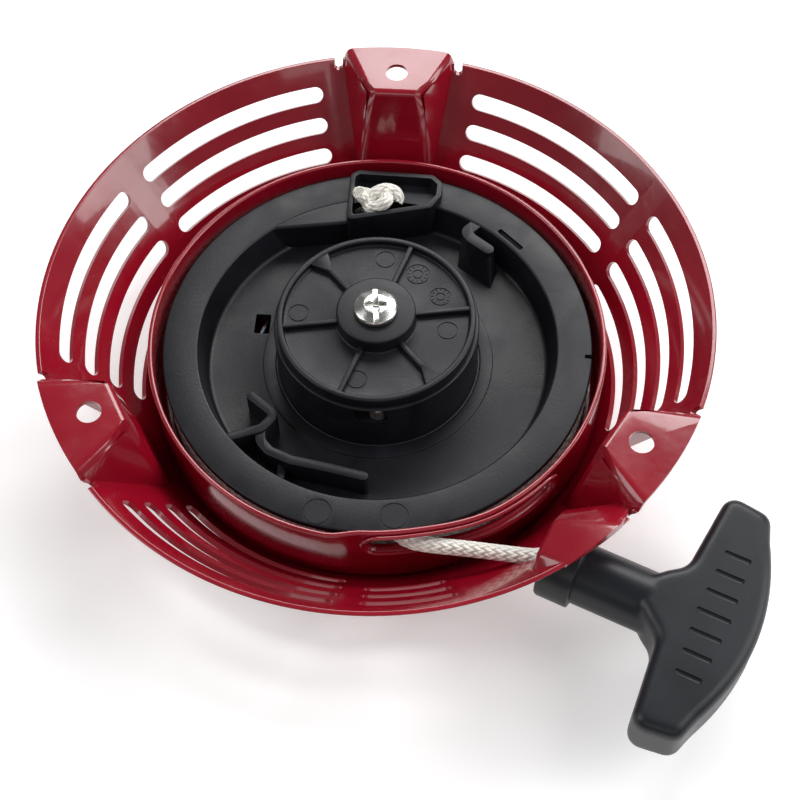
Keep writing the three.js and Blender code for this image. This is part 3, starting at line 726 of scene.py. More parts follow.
def cover_envelope(skirt):
    """All that the ears may fill: the cone's outside, and the space above the rim."""
    profile = [
        (0, 0), (skirt.foot - 2.4, 0), (skirt.foot - 0.2, 2.6), (skirt.rim, skirt.height),
        (skirt.rim, skirt.ear_top + 1), (0, skirt.ear_top + 1),
    ]
    radii = [0, 2.5, 3.0, 0, 0, 0]
    return turned("envelope", filleted(profile, radii), sizes().cover_sides)


def outlet_boss(skirt):
    """Pressed facets round the outlet: a flat face square to the pull, and sloping sides."""
    low, high = -OUTLET_RADIUS, OUTLET_RADIUS
    face = ((low - 1, -9), (high + 1, -9), (high + 1, 6), (5, high + 1), (-5, high + 1), (low - 1, 5))
    mouth = ((low - 8, -16), (high + 9, -16), (high + 9, 12), (8, high + 8), (-8, high + 8), (low - 8, 10))
    corners = [(-skirt.sheet, *corner) for corner in face] + [(16, *corner) for corner in mouth]
    boss = hulled("dimple", corners)
    turn = Matrix.Rotation(math.radians(GRIP_ANGLE), 4, "Z")
    boss.data.transform(Matrix.Translation(skirt.outlet() * MM) @ turn)
    return bevelled(boss, 1.4, 4, 12)


def outer_cover():
    skirt = Skirt()
    body = cut(cover_shell(skirt), skirt_slots(skirt))
    for angle in EAR_ANGLES:
        ear = turned_round(ear_block(skirt, 0, 2.3), angle - 90)
        ear = shared(ear, cover_envelope(skirt))
        body = united(body, ear)
        hollow = turned_round(ear_block(skirt, skirt.sheet, 1.3), angle - 90)
        hole = rod("bolt", BOLT_HOLE, (0, skirt.bolt_circle, 36), (0, skirt.bolt_circle, 50))
        body = cut(body, hollow, turned_round(hole, angle - 90))
        for side in (-1, 1):
            near, far = sorted(side * across for across in EAR_NOTCH)
            notch = block(
                "notch", (near, skirt.bolt_circle - 4, skirt.height - 2.6),
                (far, skirt.rim + 4, skirt.height + 3),
            )
            body = cut(body, turned_round(bevelled(notch, 1.1, 4), angle - 90))
    outlet, pull = skirt.outlet(), pull_direction()
    body = united(body, shared(outlet_boss(skirt), cover_envelope(skirt)))
    seat = rod("seat", OUTLET_RADIUS, outlet, outlet + pull * 60, 96)
    hole = rod("hole", mm(sizes().rope_size) / 2 + 1.2, outlet - pull * 4, outlet + pull * 2)
    body = cut(body, bevelled(seat, 0.6, 3), hole)
    return smoothed(body, 32)


# ---------------------------------------------------------------------------- stage
CAMERA_PLACE = (0.02773, -0.24669, 0.39084)
CAMERA_AIM = (-0.0454, 0.5231, -0.8511)
CAMERA_ROLL = -1.16          # degrees
CAMERA_LENS = 68.55


def camera():
    aim = Vector(CAMERA_AIM).normalized()
    deselect()
    bpy.ops.object.camera_add(location=CAMERA_PLACE)
    made = bpy.context.object
    made.name = "studio_camera"
    made.rotation_mode = "QUATERNION"
    roll = Matrix.Rotation(math.radians(CAMERA_ROLL), 4, "Z").to_quaternion()
    made.rotation_quaternion = aim.to_track_quat("-Z", "Y") @ roll
    made.data.lens = CAMERA_LENS
    made.data.sensor_width = 36
    made.data.clip_start, made.data.clip_end = 0.02, 20
    bpy.context.scene.camera = made
    return made


def softbox(name, place, size, energy):
    """Square area light that faces the middle of the cover."""
    deselect()
    bpy.ops.object.light_add(type="AREA", location=place)
    lamp = bpy.context.object
    lamp.name = name
    lamp.data.shape = "RECTANGLE"
    lamp.data.size, lamp.data.size_y = size
    lamp.data.energy = energy
    lamp.rotation_euler = (Vector((0, 0, 0.02)) - Vector(place)).to_track_quat("-Z", "Y").to_euler()
    return lamp


class STARTER_OT_stage(bpy.types.Operator):
    """Lays the pale floor and sets the lights and the camera"""

    bl_idname = "starter.stage"
    bl_label = "Stage"

    def execute(self, context):
        deselect()
        bpy.ops.mesh.primitive_plane_add(size=6, location=(0, 0, 0))
        floor = named("floor")
        floor.data.materials.append(material("floor"))
        camera()
        softbox("softbox_back", (0.15, 0.75, 0.75), (0.9, 0.5), 9)
        softbox("softbox_left", (-0.85, -0.1, 0.7), (0.5, 0.9), 4)
        softbox("softbox_right", (0.8, 0.05, 0.6), (0.5, 0.9), 6)
        softbox("softbox_front", (0.1, -0.9, 0.8), (1.0, 0.4), 1.6)
        world = bpy.data.worlds.new("studio")
        world.use_nodes = True
        world.node_tree.nodes["Background"].inputs["Color"].default_value = (1, 1, 1, 1)
        world.node_tree.nodes["Background"].inputs["Strength"].default_value = 0.16
        context.scene.world = world
        context.scene.view_settings.view_transform = "Standard"
        return {"FINISHED"}


class STARTER_OT_cover(bpy.types.Operator):
    """Presses the outer cover: slotted skirt, three ears and the rope's outlet"""

    bl_idname = "starter.cover"
    bl_label = "Outer cover"

    def execute(self, context):
        finished(outer_cover(), "case", "red_paint", material("enamel"), "outer_cover")
        return {"FINISHED"}


# --------------------------------------------------------------------------- the cup
CUP_SHEET = 1.5
CUP_FLOOR = 1.5
CUP_MARGIN = 2.4             # reel's flange to the cup's wall
JOGGLE = 1.9
JOGGLE_SPAN = (262, 281, 306)
WINDOW = (271.5, 321.5, 15.6, 23.0)   # azimuths, heights
WINDOW_CUT = 12              # depth of the tool that cuts the window
# Section of the window's lip: how far inside the edge, how far out of the wall.
LIP_SECTION = ((0.3, -0.6), (0.25, 1.2), (0.1, 2.0), (-0.5, 2.7), (-1.3, 3.0))
LIP_SHEET = 1.1


def joggle_at(azimuth):
    start, full, end = JOGGLE_SPAN
    azimuth %= 360
    if azimuth < start or azimuth > end:
        return 0.0
    if azimuth <= full:
        return JOGGLE * smooth_step(2.2 * (azimuth - start) / (full - start))
    return JOGGLE * smooth_step((end - azimuth) / (end - full))


def cup_radius():
    return mm(sizes().reel_radius) + CUP_MARGIN


def window_lip(radius):
    """Sheet turned out round the window: a collar that follows its edge."""
    start, end, low, high = WINDOW
    half = (high - low) / 2
    middle = (low + high) / 2
    lap = math.degrees(half / radius)
    straight = end - start - 2 * lap
    rounding, steps = 20, 36
    edge = []
    for centre, sign, level in ((start + lap, 1, low), (end - lap, -1, high)):
        for i in range(rounding + 1):
            turn = math.radians(90 * sign + 180 * i / rounding)
            edge.append((centre + lap * math.cos(turn), middle + half * math.sin(turn)))
        edge += [(centre + sign * straight * i / steps, level) for i in range(1, steps)]
    rows = [[] for _ in LIP_SECTION]
    count = len(edge)
    for i in range(count + 1):
        azimuth, height = edge[i % count]
        before, after = edge[(i - 1) % count], edge[(i + 1) % count]
        along = Vector((math.radians(after[0] - before[0]) * radius, after[1] - before[1])).normalized()
        inward = Vector((-along.y, along.x))
        for row, (tuck, out) in zip(rows, LIP_SECTION):
            turn = azimuth + math.degrees(inward.x * tuck / radius)
            reach = radius - joggle_at(turn) + out
            row.append((*polar(reach, turn), height + inward.y * tuck))
    lip = latticed("window_lip", rows)
    close_up(lip)
    modified(lip, "SOLIDIFY", thickness=LIP_SHEET * MM, offset=-1)
    modified(lip, "SUBSURF", levels=1, render_levels=1)
    return lip


def reel_cup():
    inner = cup_radius()
    outer = inner + CUP_SHEET
    top = mm(CUP_HIGH.z)
    floor = CUP_FLOOR + CUP_SHEET
    profile = [
        (5.3, CUP_FLOOR), (outer, CUP_FLOOR), (outer, top), (inner, top), (inner, floor),
        (5.3, floor), (5.3, CUP_FLOOR),
    ]
    path = filleted(profile, [0, 3.0, 0.7, 0.7, 1.6, 0, 0], 5)
    body = turned("reel_cup_steel", path, sizes().cover_sides)
    wall_foot = (floor + 2.5) * MM
    for vertex in body.data.vertices:
        if vertex.co.z < wall_foot:
            continue
        radius = math.hypot(vertex.co.x, vertex.co.y)
        azimuth = math.degrees(math.atan2(vertex.co.y, vertex.co.x))
        k = 1 - joggle_at(azimuth) * MM / radius
        vertex.co.x *= k
        vertex.co.y *= k
    start, end, low, high = WINDOW
    place = lambda azimuth, side: (*polar(inner, azimuth), (low + high) / 2 + side)
    body = cut(body, slot_cutter("window", start, end, inner, high - low, WINDOW_CUT, place))
    smoothed(body, 32)
    lip = smoothed(window_lip(inner), 50)
    pick(body, lip)
    bpy.ops.object.join()
    return body


class STARTER_OT_cup(bpy.types.Operator):
    """Presses the inner cup with its joggle and the rope's window"""

    bl_idname = "starter.cup"
    bl_label = "Reel cup"

    def execute(self, context):
        finished(reel_cup(), "case", "red_paint", material("enamel"), "reel_cup")
        return {"FINISHED"}


# -------------------------------------------------------------------------- the reel
REEL_LOW_Z = 3.8
REEL_TOP = 22.0
FLANGE = 2.0
WELL_FLOOR = 12.0
WEB = 2.0
HUB_RADIUS = 29.5
HUB_TOP = 31.0
HUB_WALL = 2.5
PAWL_BAY = 24.3
SLEEVE = (10.3, 12.8)
POCKET_TOP = 25.3
POCKET_WALL = 1.6
POCKET_FLOOR = 14.0
RIB_TOP = 21.0
CATCH_TURN = -43.7           # degrees that the catch's notch in the rim is turned from +Y
PAWL_PIVOT = (-11.5, -18.5)
PAWL_WINDOW = (-4.1, 5.1, 24.7, 30.5)


def core_radius():
    return mm(sizes().reel_radius) - 2 * mm(sizes().rope_size) - 0.2


def wall_outline(points, width, steps=6):
    """Plan outline of a wall of even width with round ends, along a path."""
    path = [Vector(p) for p in points]
    left, right = [], []
    for i, point in enumerate(path):
        before = path[max(i - 1, 0)]
        after = path[min(i + 1, len(path) - 1)]
        along = (after - before).normalized()
        across = Vector((-along.y, along.x)) * width / 2
        left.append(tuple(point + across))
        right.append(tuple(point - across))
    first, last = path[1] - path[0], path[-1] - path[-2]
    head = math.degrees(math.atan2(last.y, last.x))
    tail = math.degrees(math.atan2(first.y, first.x))
    front = arc(*path[-1], width / 2, head - 90, head + 90, steps)
    back = arc(*path[0], width / 2, tail + 90, tail + 270, steps)
    return right[1:-1] + front + left[-2:0:-1] + back


def rib(name, points, width, top, rounding=4, foot=WELL_FLOOR - 1):
    """Moulded wall along a plan path, its corners and its top edge softened."""
    path = filleted(points, rounding, 5)
    body = prism(name, wall_outline(path, width), foot, top)
    return bevelled(body, 0.45, 2, angle=50)


def pocket_corners(core):
    rows = (
        (-12.8, -12.8), (12.8, -6.5), (15.8, -1.7), (16, 3.6), (12.9, 6.6), (-10.3, 7.2), (-12.8, 5.4),
    )
    return [(x, core + out) for x, out in rows]


def drawn_in(points, distance):
    """Closed outline, its corners moved inwards."""
    count = len(points)
    result = []
    for i, point in enumerate(points):
        here = Vector(point)
        first = (here - Vector(points[i - 1])).normalized()
        second = (Vector(points[(i + 1) % count]) - here).normalized()
        normal = Vector((-first.y - second.y, first.x + second.x)).normalized()
        stretch = distance / max(0.5, normal.dot(Vector((-first.y, first.x))))
        result.append(tuple(here + normal * stretch))
    return result


def reel_blank(core, rim):
    well = core - 1.7
    sleeve_in, sleeve_out = SLEEVE
    in_hub = HUB_RADIUS - HUB_WALL
    profile = [
        (sleeve_in, 4.8), (sleeve_out, 4.8), (sleeve_out, PAWL_BAY - 1.5), (in_hub, PAWL_BAY - 1.5),
        (in_hub, WELL_FLOOR - WEB), (well, WELL_FLOOR - WEB), (well, REEL_LOW_Z),
        (rim, REEL_LOW_Z), (rim, REEL_LOW_Z + FLANGE), (core, REEL_LOW_Z + FLANGE),
        (core, REEL_TOP - FLANGE), (rim, REEL_TOP - FLANGE), (rim, REEL_TOP), (well, REEL_TOP),
        (well - 2, WELL_FLOOR), (HUB_RADIUS + 4.5, WELL_FLOOR), (HUB_RADIUS + 4.5, WELL_FLOOR + 0.5),
        (HUB_RADIUS + 0.8, WELL_FLOOR + 0.5), (HUB_RADIUS + 0.8, WELL_FLOOR), (HUB_RADIUS, WELL_FLOOR),
        (HUB_RADIUS, HUB_TOP), (in_hub, HUB_TOP), (in_hub, PAWL_BAY), (sleeve_in, PAWL_BAY),
        (sleeve_in, 4.8),
    ]
    radii = [0, 0.3, 1, 1, 0.5, 0.5, 0.3, 0.4, 0.4, 0.8, 0.8, 0.4, 0.6, 0.8, 1.6, 0.2, 0.2, 0.2, 0.2,
             0.4, 0.5, 0.4, 0.5, 0.3, 0]
    return turned("starter_reel_nylon", filleted(profile, radii, 3), sizes().reel_sides)


def knot_pocket(body, core, rim):
    outline = filleted(pocket_corners(core), 2.2, 4, closed=True)
    inner = filleted(drawn_in(pocket_corners(core), POCKET_WALL), 1.4, 4, closed=True)
    sides = sizes().reel_sides
    tower = bevelled(prism("pocket", outline, WELL_FLOOR - 1, POCKET_TOP), 0.4, 2, 50)
    body = united(body, shared(tower, rod("core", core, (0, 0, 0), (0, 0, 40), sides)))
    shelf = bevelled(prism("shelf", outline, REEL_TOP - FLANGE + 0.5, POCKET_TOP), 0.4, 2, 50)
    body = united(body, shared(shelf, rod("rim", rim - 0.02, (0, 0, 0), (0, 0, 40), sides)))
    body = cut(body, prism("hollow", inner, REEL_TOP - 0.8, POCKET_TOP + 1))
    deep = prism("deep", inner, POCKET_FLOOR, POCKET_TOP + 1)
    return cut(body, shared(deep, rod("core", core - POCKET_WALL, (0, 0, 0), (0, 0, 40), sides)))


def reel_ribs():
    hook = rib("hook", ((28.5, 46.6), (24, 42), (25.6, 39.6), (31, 35.6)), 3.4, RIB_TOP + 0.6, 2)
    foot = bevelled(hulled("hook_foot", (
        (22.6, 41.4, RIB_TOP - 0.4), (31.6, 34.6, RIB_TOP - 0.4), (24.5, 42.5, RIB_TOP - 0.4),
        (32.4, 36.6, RIB_TOP - 0.4), (21.5, 35, WELL_FLOOR - 1), (32.5, 26.8, WELL_FLOOR - 1),
        (24.5, 42.5, WELL_FLOOR - 1), (34.4, 35, WELL_FLOOR - 1),
    )), 0.8, 3)
    lobe = rib(
        "lobe",
        ((-30.6, -31), (-30.6, -34.5), (-27.6, -37.8), (-21, -40.4), (-11, -42), (-0.5, -44.2)),
        3.0, RIB_TOP - 0.6,
    )
    spoke = rib("spoke", ((-34.6, -20.5), (-27, -26.3), (-30.6, -31), (-42.5, -35.6)), 2.8, RIB_TOP, 2.5)
    gusset = bevelled(block("gusset", (-25.2, -47.5, WELL_FLOOR - 1), (-22.8, -40, WELL_FLOOR + 5)), 0.5, 3)
    return [hook, foot, lobe, spoke, gusset]


def ejector_mark(x, y, z, radius, depth=0.18):
    """Shallow ring left by an ejector pin or a turned insert."""
    ring = rod("ring", radius, (x, y, z - depth), (x, y, z + 1), 40)
    return cut(ring, rod("inside", radius - 0.35, (x, y, z - 2), (x, y, z + 2), 40))


def starter_reel():
    rim = mm(sizes().reel_radius)
    core = core_radius()
    body = reel_blank(core, rim)
    slope = filleted(((-44, 34), (-37.5, 38.5), (-8, 43.4), (-8, 54), (-44, 54)), 4, 5, closed=True)
    filling = prism("filling", slope, WELL_FLOOR - 1, REEL_TOP - 0.1)
    filling = bevelled(filling, 4, 8, 60)
    filling = shared(filling, rod("well", core + 0.8, (0, 0, 0), (0, 0, REEL_TOP + 5), sizes().reel_sides))
    body = united(body, filling)
    inside = core - 0.8
    for wall in reel_ribs():
        body = united(body, shared(wall, rod("inside", inside, (0, 0, 0), (0, 0, 40), sizes().reel_sides)))
    body = knot_pocket(body, core, rim)
    slot = bevelled(block("slot", (-38, 7, WELL_FLOOR - 5), (-33.4, 14, WELL_FLOOR + 1)), 0.5, 3)
    notch = block("notch", (rim - 2.2, -2.6, REEL_TOP - 3), (rim + 1, -1.2, REEL_TOP + 1))
    catch = bevelled(block("catch", (-5, 53.5, REEL_TOP - 1.4), (5, 55.2, REEL_TOP + 1)), 0.5, 3)
    body = cut(body, slot, notch, turned_round(catch, CATCH_TURN))
    left, right, sill, head = PAWL_WINDOW
    for turn in (0, 180):
        opening = block("opening", (left, -HUB_RADIUS - 2, sill), (right, -HUB_RADIUS + 6, head))
        socket = rod("socket", 1.82, (*PAWL_PIVOT, PAWL_BAY - 3), (*PAWL_PIVOT, PAWL_BAY + 0.2), 24)
        body = cut(body, turned_round(bevelled(opening, 0.7, 3), turn), turned_round(socket, turn))
    for x in (-12, 9):
        body = cut(body, ejector_mark(x, -57, REEL_TOP, 4))
    return smoothed(body, 34)


class STARTER_OT_reel(bpy.types.Operator):
    """Moulds the rope reel with its well, knot pocket, stiffening walls and hub"""

    bl_idname = "starter.reel"
    bl_label = "Rope reel"

    def execute(self, context):
        finished(starter_reel(), "reel", "black_nylon", material("nylon"), "starter_reel")
        return {"FINISHED"}


# ------------------------------------------------------------- guide, screw and pawls
GUIDE_RADIUS = 28.5
GUIDE_RIM = 1.8
GUIDE_LOW_Z = 31.3
GUIDE_PLATE = 32.5
GUIDE_RIM_TOP = 34.5
BOSS = (11.3, 37.5)
GUIDE_MARK = 0.25            # depth of the moulder's marks
RIB_ANGLES = (10, 72, 133, 190, 252, 312)
WEDGE_ANGLES = (133, 312)


def guide_blank():
    boss, boss_top = BOSS
    profile = [
        (3.4, boss_top), (boss, boss_top), (boss, GUIDE_PLATE), (GUIDE_RADIUS - GUIDE_RIM, GUIDE_PLATE),
        (GUIDE_RADIUS - GUIDE_RIM, GUIDE_RIM_TOP), (GUIDE_RADIUS, GUIDE_RIM_TOP),
        (GUIDE_RADIUS, GUIDE_LOW_Z), (10, GUIDE_LOW_Z), (10, GUIDE_LOW_Z - 4.3), (8.3, GUIDE_LOW_Z - 4.3),
        (8.3, GUIDE_LOW_Z), (7.3, GUIDE_LOW_Z), (7.3, boss_top - 2), (3.4, boss_top - 2), (3.4, boss_top),
    ]
    radii = [0, 0.6, 0.5, 0.5, 0.5, 0.6, 0.4, 0.2, 0.2, 0.1, 0.1, 0.1, 0.1, 0.1, 0]
    return turned("ratchet_guide_nylon", filleted(profile, radii, 3), 120)


def dial_mark(x, y, z, radius):
    """Moulder's date disc without figures: two rings, twelve ticks and a pointer."""
    marks = [ejector_mark(x, y, z, radius, GUIDE_MARK), ejector_mark(x, y, z, radius * 0.45, GUIDE_MARK)]
    centre = Matrix.Translation((x * MM, y * MM, 0))
    for hour in range(12):
        tick = block("tick", (radius * 0.62, -0.12, z - GUIDE_MARK), (radius * 0.85, 0.12, z + 1))
        tick.data.transform(centre @ Matrix.Rotation(hour * math.tau / 12, 4, "Z"))
        marks.append(tick)
    return marks


def ratchet_guide():
    body = guide_blank()
    low = GUIDE_LOW_Z + 0.5
    for angle in RIB_ANGLES:
        wall = block("rib", (BOSS[0] - 1, -0.75, low), (GUIDE_RADIUS - 1, 0.75, GUIDE_RIM_TOP - 0.4))
        body = united(body, turned_round(bevelled(wall, 0.3, 2), angle))
    near, far = GUIDE_RADIUS - 8, GUIDE_RADIUS - 1.2
    for angle in WEDGE_ANGLES:
        corners = ((near, 0.3), (near, -0.3), (far, -3.6), (far, 3.6))
        wedge = bevelled(prism("wedge", corners, low, GUIDE_RIM_TOP - 0.3), 0.3, 2)
        body = united(body, turned_round(wedge, angle))
    for x, y in ((1, 21.5), (-22.5, 1), (20.5, -2.5), (-4, -20.5)):
        body = cut(body, ejector_mark(x, y, GUIDE_PLATE, 3.0, GUIDE_MARK))
    for x, y, radius in ((10.8, 16.8, 3.6), (17.8, 9.2, 3.2)):
        body = cut(body, *dial_mark(x, y, GUIDE_PLATE, radius))
    return smoothed(body, 34)


def guide_screw():
    """Pan head with a slot and a cross, on its shank."""
    top, low = mm(SCREW_HIGH.z), 37.8
    r = mm(SCREW_HIGH.x)
    profile = [
        (0, 15), (2.5, 15), (3, 16), (3, low), (r, low), (r, top - 1.1), (r * 0.55, top - 0.12),
        (0, top),
    ]
    body = turned("guide_screw_steel", filleted(profile, [0, 0, 0, 0, 0.25, 1.4, 3, 0], 6), 96)
    slot = block("slot", (-0.8, -r - 1, top - 1.3), (0.8, r + 1, top + 1))
    cross = block("cross", (-3.2, -0.75, top - 2.0), (3.2, 0.75, top + 1))
    drive = united(bevelled(slot, 0.15, 2), bevelled(cross, 0.3, 2))
    body = cut(body, turned_round(drive, 6))
    return smoothed(bevelled(body, 0.08, 2, 50), 40)


def pawl(name):
    """Stamped pawl: boss round the pin, cranked arm, rounded nose in the hub's window."""
    px, py = PAWL_PIVOT
    elbow, nose = Vector((2.4, -24.4)), Vector((2.4, -29.1))
    turn = math.degrees(math.atan2(elbow.y - py, elbow.x - px))
    half = 2.5
    outline = arc(px, py, 3.7, turn + 60, turn + 300, 24)
    outline += [(elbow.x - half, elbow.y - 1.4)]
    outline += arc(nose.x, nose.y + half, half, 180, 360, 16)
    outline += [(elbow.x + half, elbow.y + 0.8), (elbow.x + 0.4, elbow.y + 2)]
    body = prism(name, outline, 25.2, 29.8)
    body = cut(body, rod("eye", 2.1, (px, py, 24), (px, py, 31), 32))
    return smoothed(bevelled(body, 0.9, 4, 40), 34)


class STARTER_OT_guide(bpy.types.Operator):
    """Moulds the ratchet guide with its ribs and boss"""

    bl_idname = "starter.guide"
    bl_label = "Ratchet guide"

    def execute(self, context):
        finished(ratchet_guide(), "guide", "black_nylon", material("nylon"), "ratchet_guide")
        return {"FINISHED"}


class STARTER_OT_screw(bpy.types.Operator):
    """Makes the pan-head screw that holds the guide"""

    bl_idname = "starter.screw"
    bl_label = "Guide screw"

    def execute(self, context):
        finished(guide_screw(), "case", "zinc_plate", material("zinc"), "guide_screw")
        return {"FINISHED"}


class STARTER_OT_pawls(bpy.types.Operator):
    """Stamps the two pawls, one on each side of the hub"""

    bl_idname = "starter.pawls"
    bl_label = "Pawls"

    def execute(self, context):
        front = pawl("ratchet_pawl_front_steel")
        rear = turned_round(copied(front, "ratchet_pawl_rear_steel"), 180)
        finished(front, "pawl_front", "pawl_steel", material("pawl_steel"), "ratchet_pawl_front")
        finished(rear, "pawl_rear", "pawl_steel", material("pawl_steel"), "ratchet_pawl_rear")
        return {"FINISHED"}


# -------------------------------------------------------------------------- the rope
CORD_LAY = 3.0               # millimetres of cord for one unit of V
PLAITS = 8                   # plaits that run each way
BRAID_RELIEF = 0.22          # height of a plait
MEAN_HEIGHT = 0.6            # of the braid's surface, which the cord's radius is measured to


def braid_height(u, v):
    """Height of the braid's surface, from 0 in a valley to 1 on a plait."""
    left, right = PLAITS * u + v, PLAITS * u - v
    over = math.sin(left * math.pi) * math.sin(right * math.pi) > 0
    phase = right if over else left
    return math.sin((phase % 1) * math.pi)


def even_path(points, step):
    """Points at even steps along a smooth curve through the given ones."""
    dense = []
    count = len(points)
    path = [Vector(p) for p in points]
    for i in range(count - 1):
        p0, p1 = path[max(i - 1, 0)], path[i]
        p2, p3 = path[i + 1], path[min(i + 2, count - 1)]
        for k in range(12):
            t = k / 12
            dense.append(0.5 * (
                2 * p1 + (p2 - p0) * t + (2 * p0 - 5 * p1 + 4 * p2 - p3) * t ** 2
                + (3 * p1 - p0 - 3 * p2 + p3) * t ** 3
            ))
    dense.append(path[-1])
    total = sum((b - a).length for a, b in zip(dense, dense[1:]))
    rings = max(2, round(total / step))
    even, travelled, k = [dense[0]], 0.0, 0
    for i in range(1, rings):
        target = total * i / rings
        while travelled + (dense[k + 1] - dense[k]).length < target:
            travelled += (dense[k + 1] - dense[k]).length
            k += 1
        t = (target - travelled) / (dense[k + 1] - dense[k]).length
        even.append(dense[k].lerp(dense[k + 1], t))
    even.append(dense[-1])
    return even


def cord(name, path, lengths, radius, sides, relief=0.0):
    """Cord along a path.  lengths gives the cord paid out at each ring, for the braid."""
    rings = len(path)
    tangent = (path[1] - path[0]).normalized()
    across = tangent.orthogonal().normalized()
    frames = []
    for i, point in enumerate(path):
        ahead = (path[min(i + 1, rings - 1)] - path[max(i - 1, 0)]).normalized()
        across = (tangent.rotation_difference(ahead) @ across).normalized()
        tangent = ahead
        frames.append((point, across, tangent.cross(across), lengths[i] / CORD_LAY))
    rows = []
    for k in range(sides + 1):
        u = k / sides
        cosine, sine = math.cos(math.tau * u), math.sin(math.tau * u)
        row = []
        for point, across, beside, v in frames:
            reach = radius + relief * (braid_height(u, v) - MEAN_HEIGHT)
            row.append(point + (across * cosine + beside * sine) * reach)
        rows.append(row)
    body = latticed(name, rows)
    layer = body.data.uv_layers[0]
    layer.name = "cord"
    for loop in body.data.loops:
        k, i = divmod(loop.vertex_index, rings)
        layer.data[loop.index].uv = (k / sides, lengths[i] / CORD_LAY)
    open_up(close_up(body))
    bpy.ops.mesh.fill_holes(sides=0)
    bpy.ops.mesh.normals_make_consistent(inside=False)
    bpy.ops.object.mode_set(mode="OBJECT")
    return smoothed(body, 60)


def running_lengths(path):
    lengths = [0.0]
    for a, b in zip(path, path[1:]):
        lengths.append(lengths[-1] + (b - a).length)
    return lengths


TURN_PITCH = 4.977
WINDING_START = 110
CROSS_SPAN = 110
RING_STEP = 2.4              # degrees
LEAVE_AZIMUTH = 261
LEAD_HEIGHT = 15.0
LEAD_AZIMUTHS = (-80.6, -76.15)   # just inside the cup's wall, and in its window


def winding_path():
    """Inner layer down, a step outwards, outer layer up, as (azimuth-swept) points."""
    core, rope = core_radius(), mm(sizes().rope_size)
    inner = core + rope / 2 + 0.25
    outer = inner + rope - 0.05
    low = REEL_LOW_Z + FLANGE + rope / 2 + 0.15
    high = REEL_TOP - FLANGE - rope / 2 - 1
    span = lambda rise: 360 * rise / TURN_PITCH
    inner_end = WINDING_START + span(high - low)
    outer_start = inner_end + CROSS_SPAN
    limit = outer_start + span(LEAD_HEIGHT - low)
    end = LEAVE_AZIMUTH + 360 * math.floor((limit - LEAVE_AZIMUTH) / 360)

    def point(azimuth):
        if azimuth <= inner_end:
            t = (azimuth - WINDING_START) / (inner_end - WINDING_START)
            return Vector((*polar(inner, azimuth), high + (low - high) * t))
        if azimuth <= outer_start:
            t = (azimuth - inner_end) / CROSS_SPAN
            return Vector((*polar(inner + (outer - inner) * smooth_step(t), azimuth), low))
        t = (azimuth - outer_start) / (end - outer_start)
        return Vector((*polar(outer, azimuth), low + (LEAD_HEIGHT - low) * t))

    start = WINDING_START + 1.8
    count = round((end - start) / RING_STEP)
    return [point(start + (end - start) * i / count) for i in range(count + 1)], inner, high


def rope_winding():
    path, _, _ = winding_path()
    return cord("rope_winding_cord", path, running_lengths(path), mm(sizes().rope_size) / 2 - 0.1, 20)


def trefoil(gap, count):
    """Points of a trefoil knot cut open, which leaves out that many degrees at each end."""
    for i in range(count + 1):
        t = math.radians(gap) + (math.tau - math.radians(2 * gap)) * i / count
        yield (
            math.sin(t) + 2 * math.sin(2 * t), math.cos(t) - 2 * math.cos(2 * t), -math.sin(3 * t),
        )


def knot_path():
    """Overhand knot drawn tight, and its standing end going down into the groove."""
    core = core_radius()
    _, inner, high = winding_path()
    centre = Vector((-3.6, core - 3.4, POCKET_TOP - 0.5))
    wide, deep, tall = 2.2, 1.15, 1.5
    points = [centre + Vector((wide * x, deep * y, tall * z)) for x, y, z in trefoil(38, 26)]
    tail = [
        centre + Vector((-2.2, -1.4, -2.2)),
        Vector((-6.4, core - 4.1, high + 1.3)),
        Vector((-9.2, core - 1.6, high + 0.1)),
        Vector((*polar(inner - 0.7, WINDING_START - 4.5), high + 0.1)),
        Vector((*polar(inner, WINDING_START + 1), high)),
    ]
    return points, tail


def reel_knot():
    knot, tail = knot_path()
    radius = mm(sizes().rope_size) / 2
    loops = even_path(knot, 0.4)
    down = even_path([knot[-1]] + tail, 0.5)
    body = cord("rope_reel_knot_cord", loops, running_lengths(loops), radius - 0.15, 48, BRAID_RELIEF)
    end = cord("knot_tail", down, running_lengths(down), radius - 0.15, 32, BRAID_RELIEF)
    return joined("rope_reel_knot_cord", [body, end])


def lead_path():
    skirt = Skirt()
    outlet, pull = skirt.outlet(), pull_direction()
    _, _, low, high = WINDOW
    before, crossing = LEAD_AZIMUTHS
    start = Vector((*polar(cup_radius() + 0.15, crossing), (low + high) / 2 - 0.2))
    inside = Vector((*polar(cup_radius() - 4.2, before), (low + high) / 2 - 1.6))
    return [inside, start, start.lerp(outlet, 0.42), start.lerp(outlet, 0.85), outlet - pull * 1.4,
            outlet + pull * 0.4]


def rope_lead():
    path = even_path(lead_path(), 0.25)
    radius = mm(sizes().rope_size) / 2
    return cord("rope_lead_cord", path, running_lengths(path), radius, 72, BRAID_RELIEF)


class STARTER_OT_rope(bpy.types.Operator):
    """Winds the rope on the reel, ties its knot and leads it to the outlet"""

    bl_idname = "starter.rope"
    bl_label = "Rope in the case"

    def execute(self, context):
        finished(rope_winding(), "reel", "braided_rope", material("rope"), "rope_winding")
        finished(reel_knot(), "reel", "braided_rope", material("rope"), "rope_reel_knot")
        finished(rope_lead(), "case", "braided_rope", material("rope"), "rope_lead")
        return {"FINISHED"}


# -------------------------------------------------------------------------- the grip
GRIP_COLLAR = (9.9, 9.8)     # radius, length
GRIP_STEM = 8.3
BAR_INNER = 35.0
BAR_OUTER = 57.8
BAR_END = 50.2
BAR_HALF = 35.0
BAR_THICK = 16.6
GROOVE_X = 45.5
GROOVE_PITCH = 6
KNOT_SEAT = 42.0
KNOT_POCKET = (14.0, 9.0)
TRAVEL = 1104.0              # millimetres that the grip is pulled


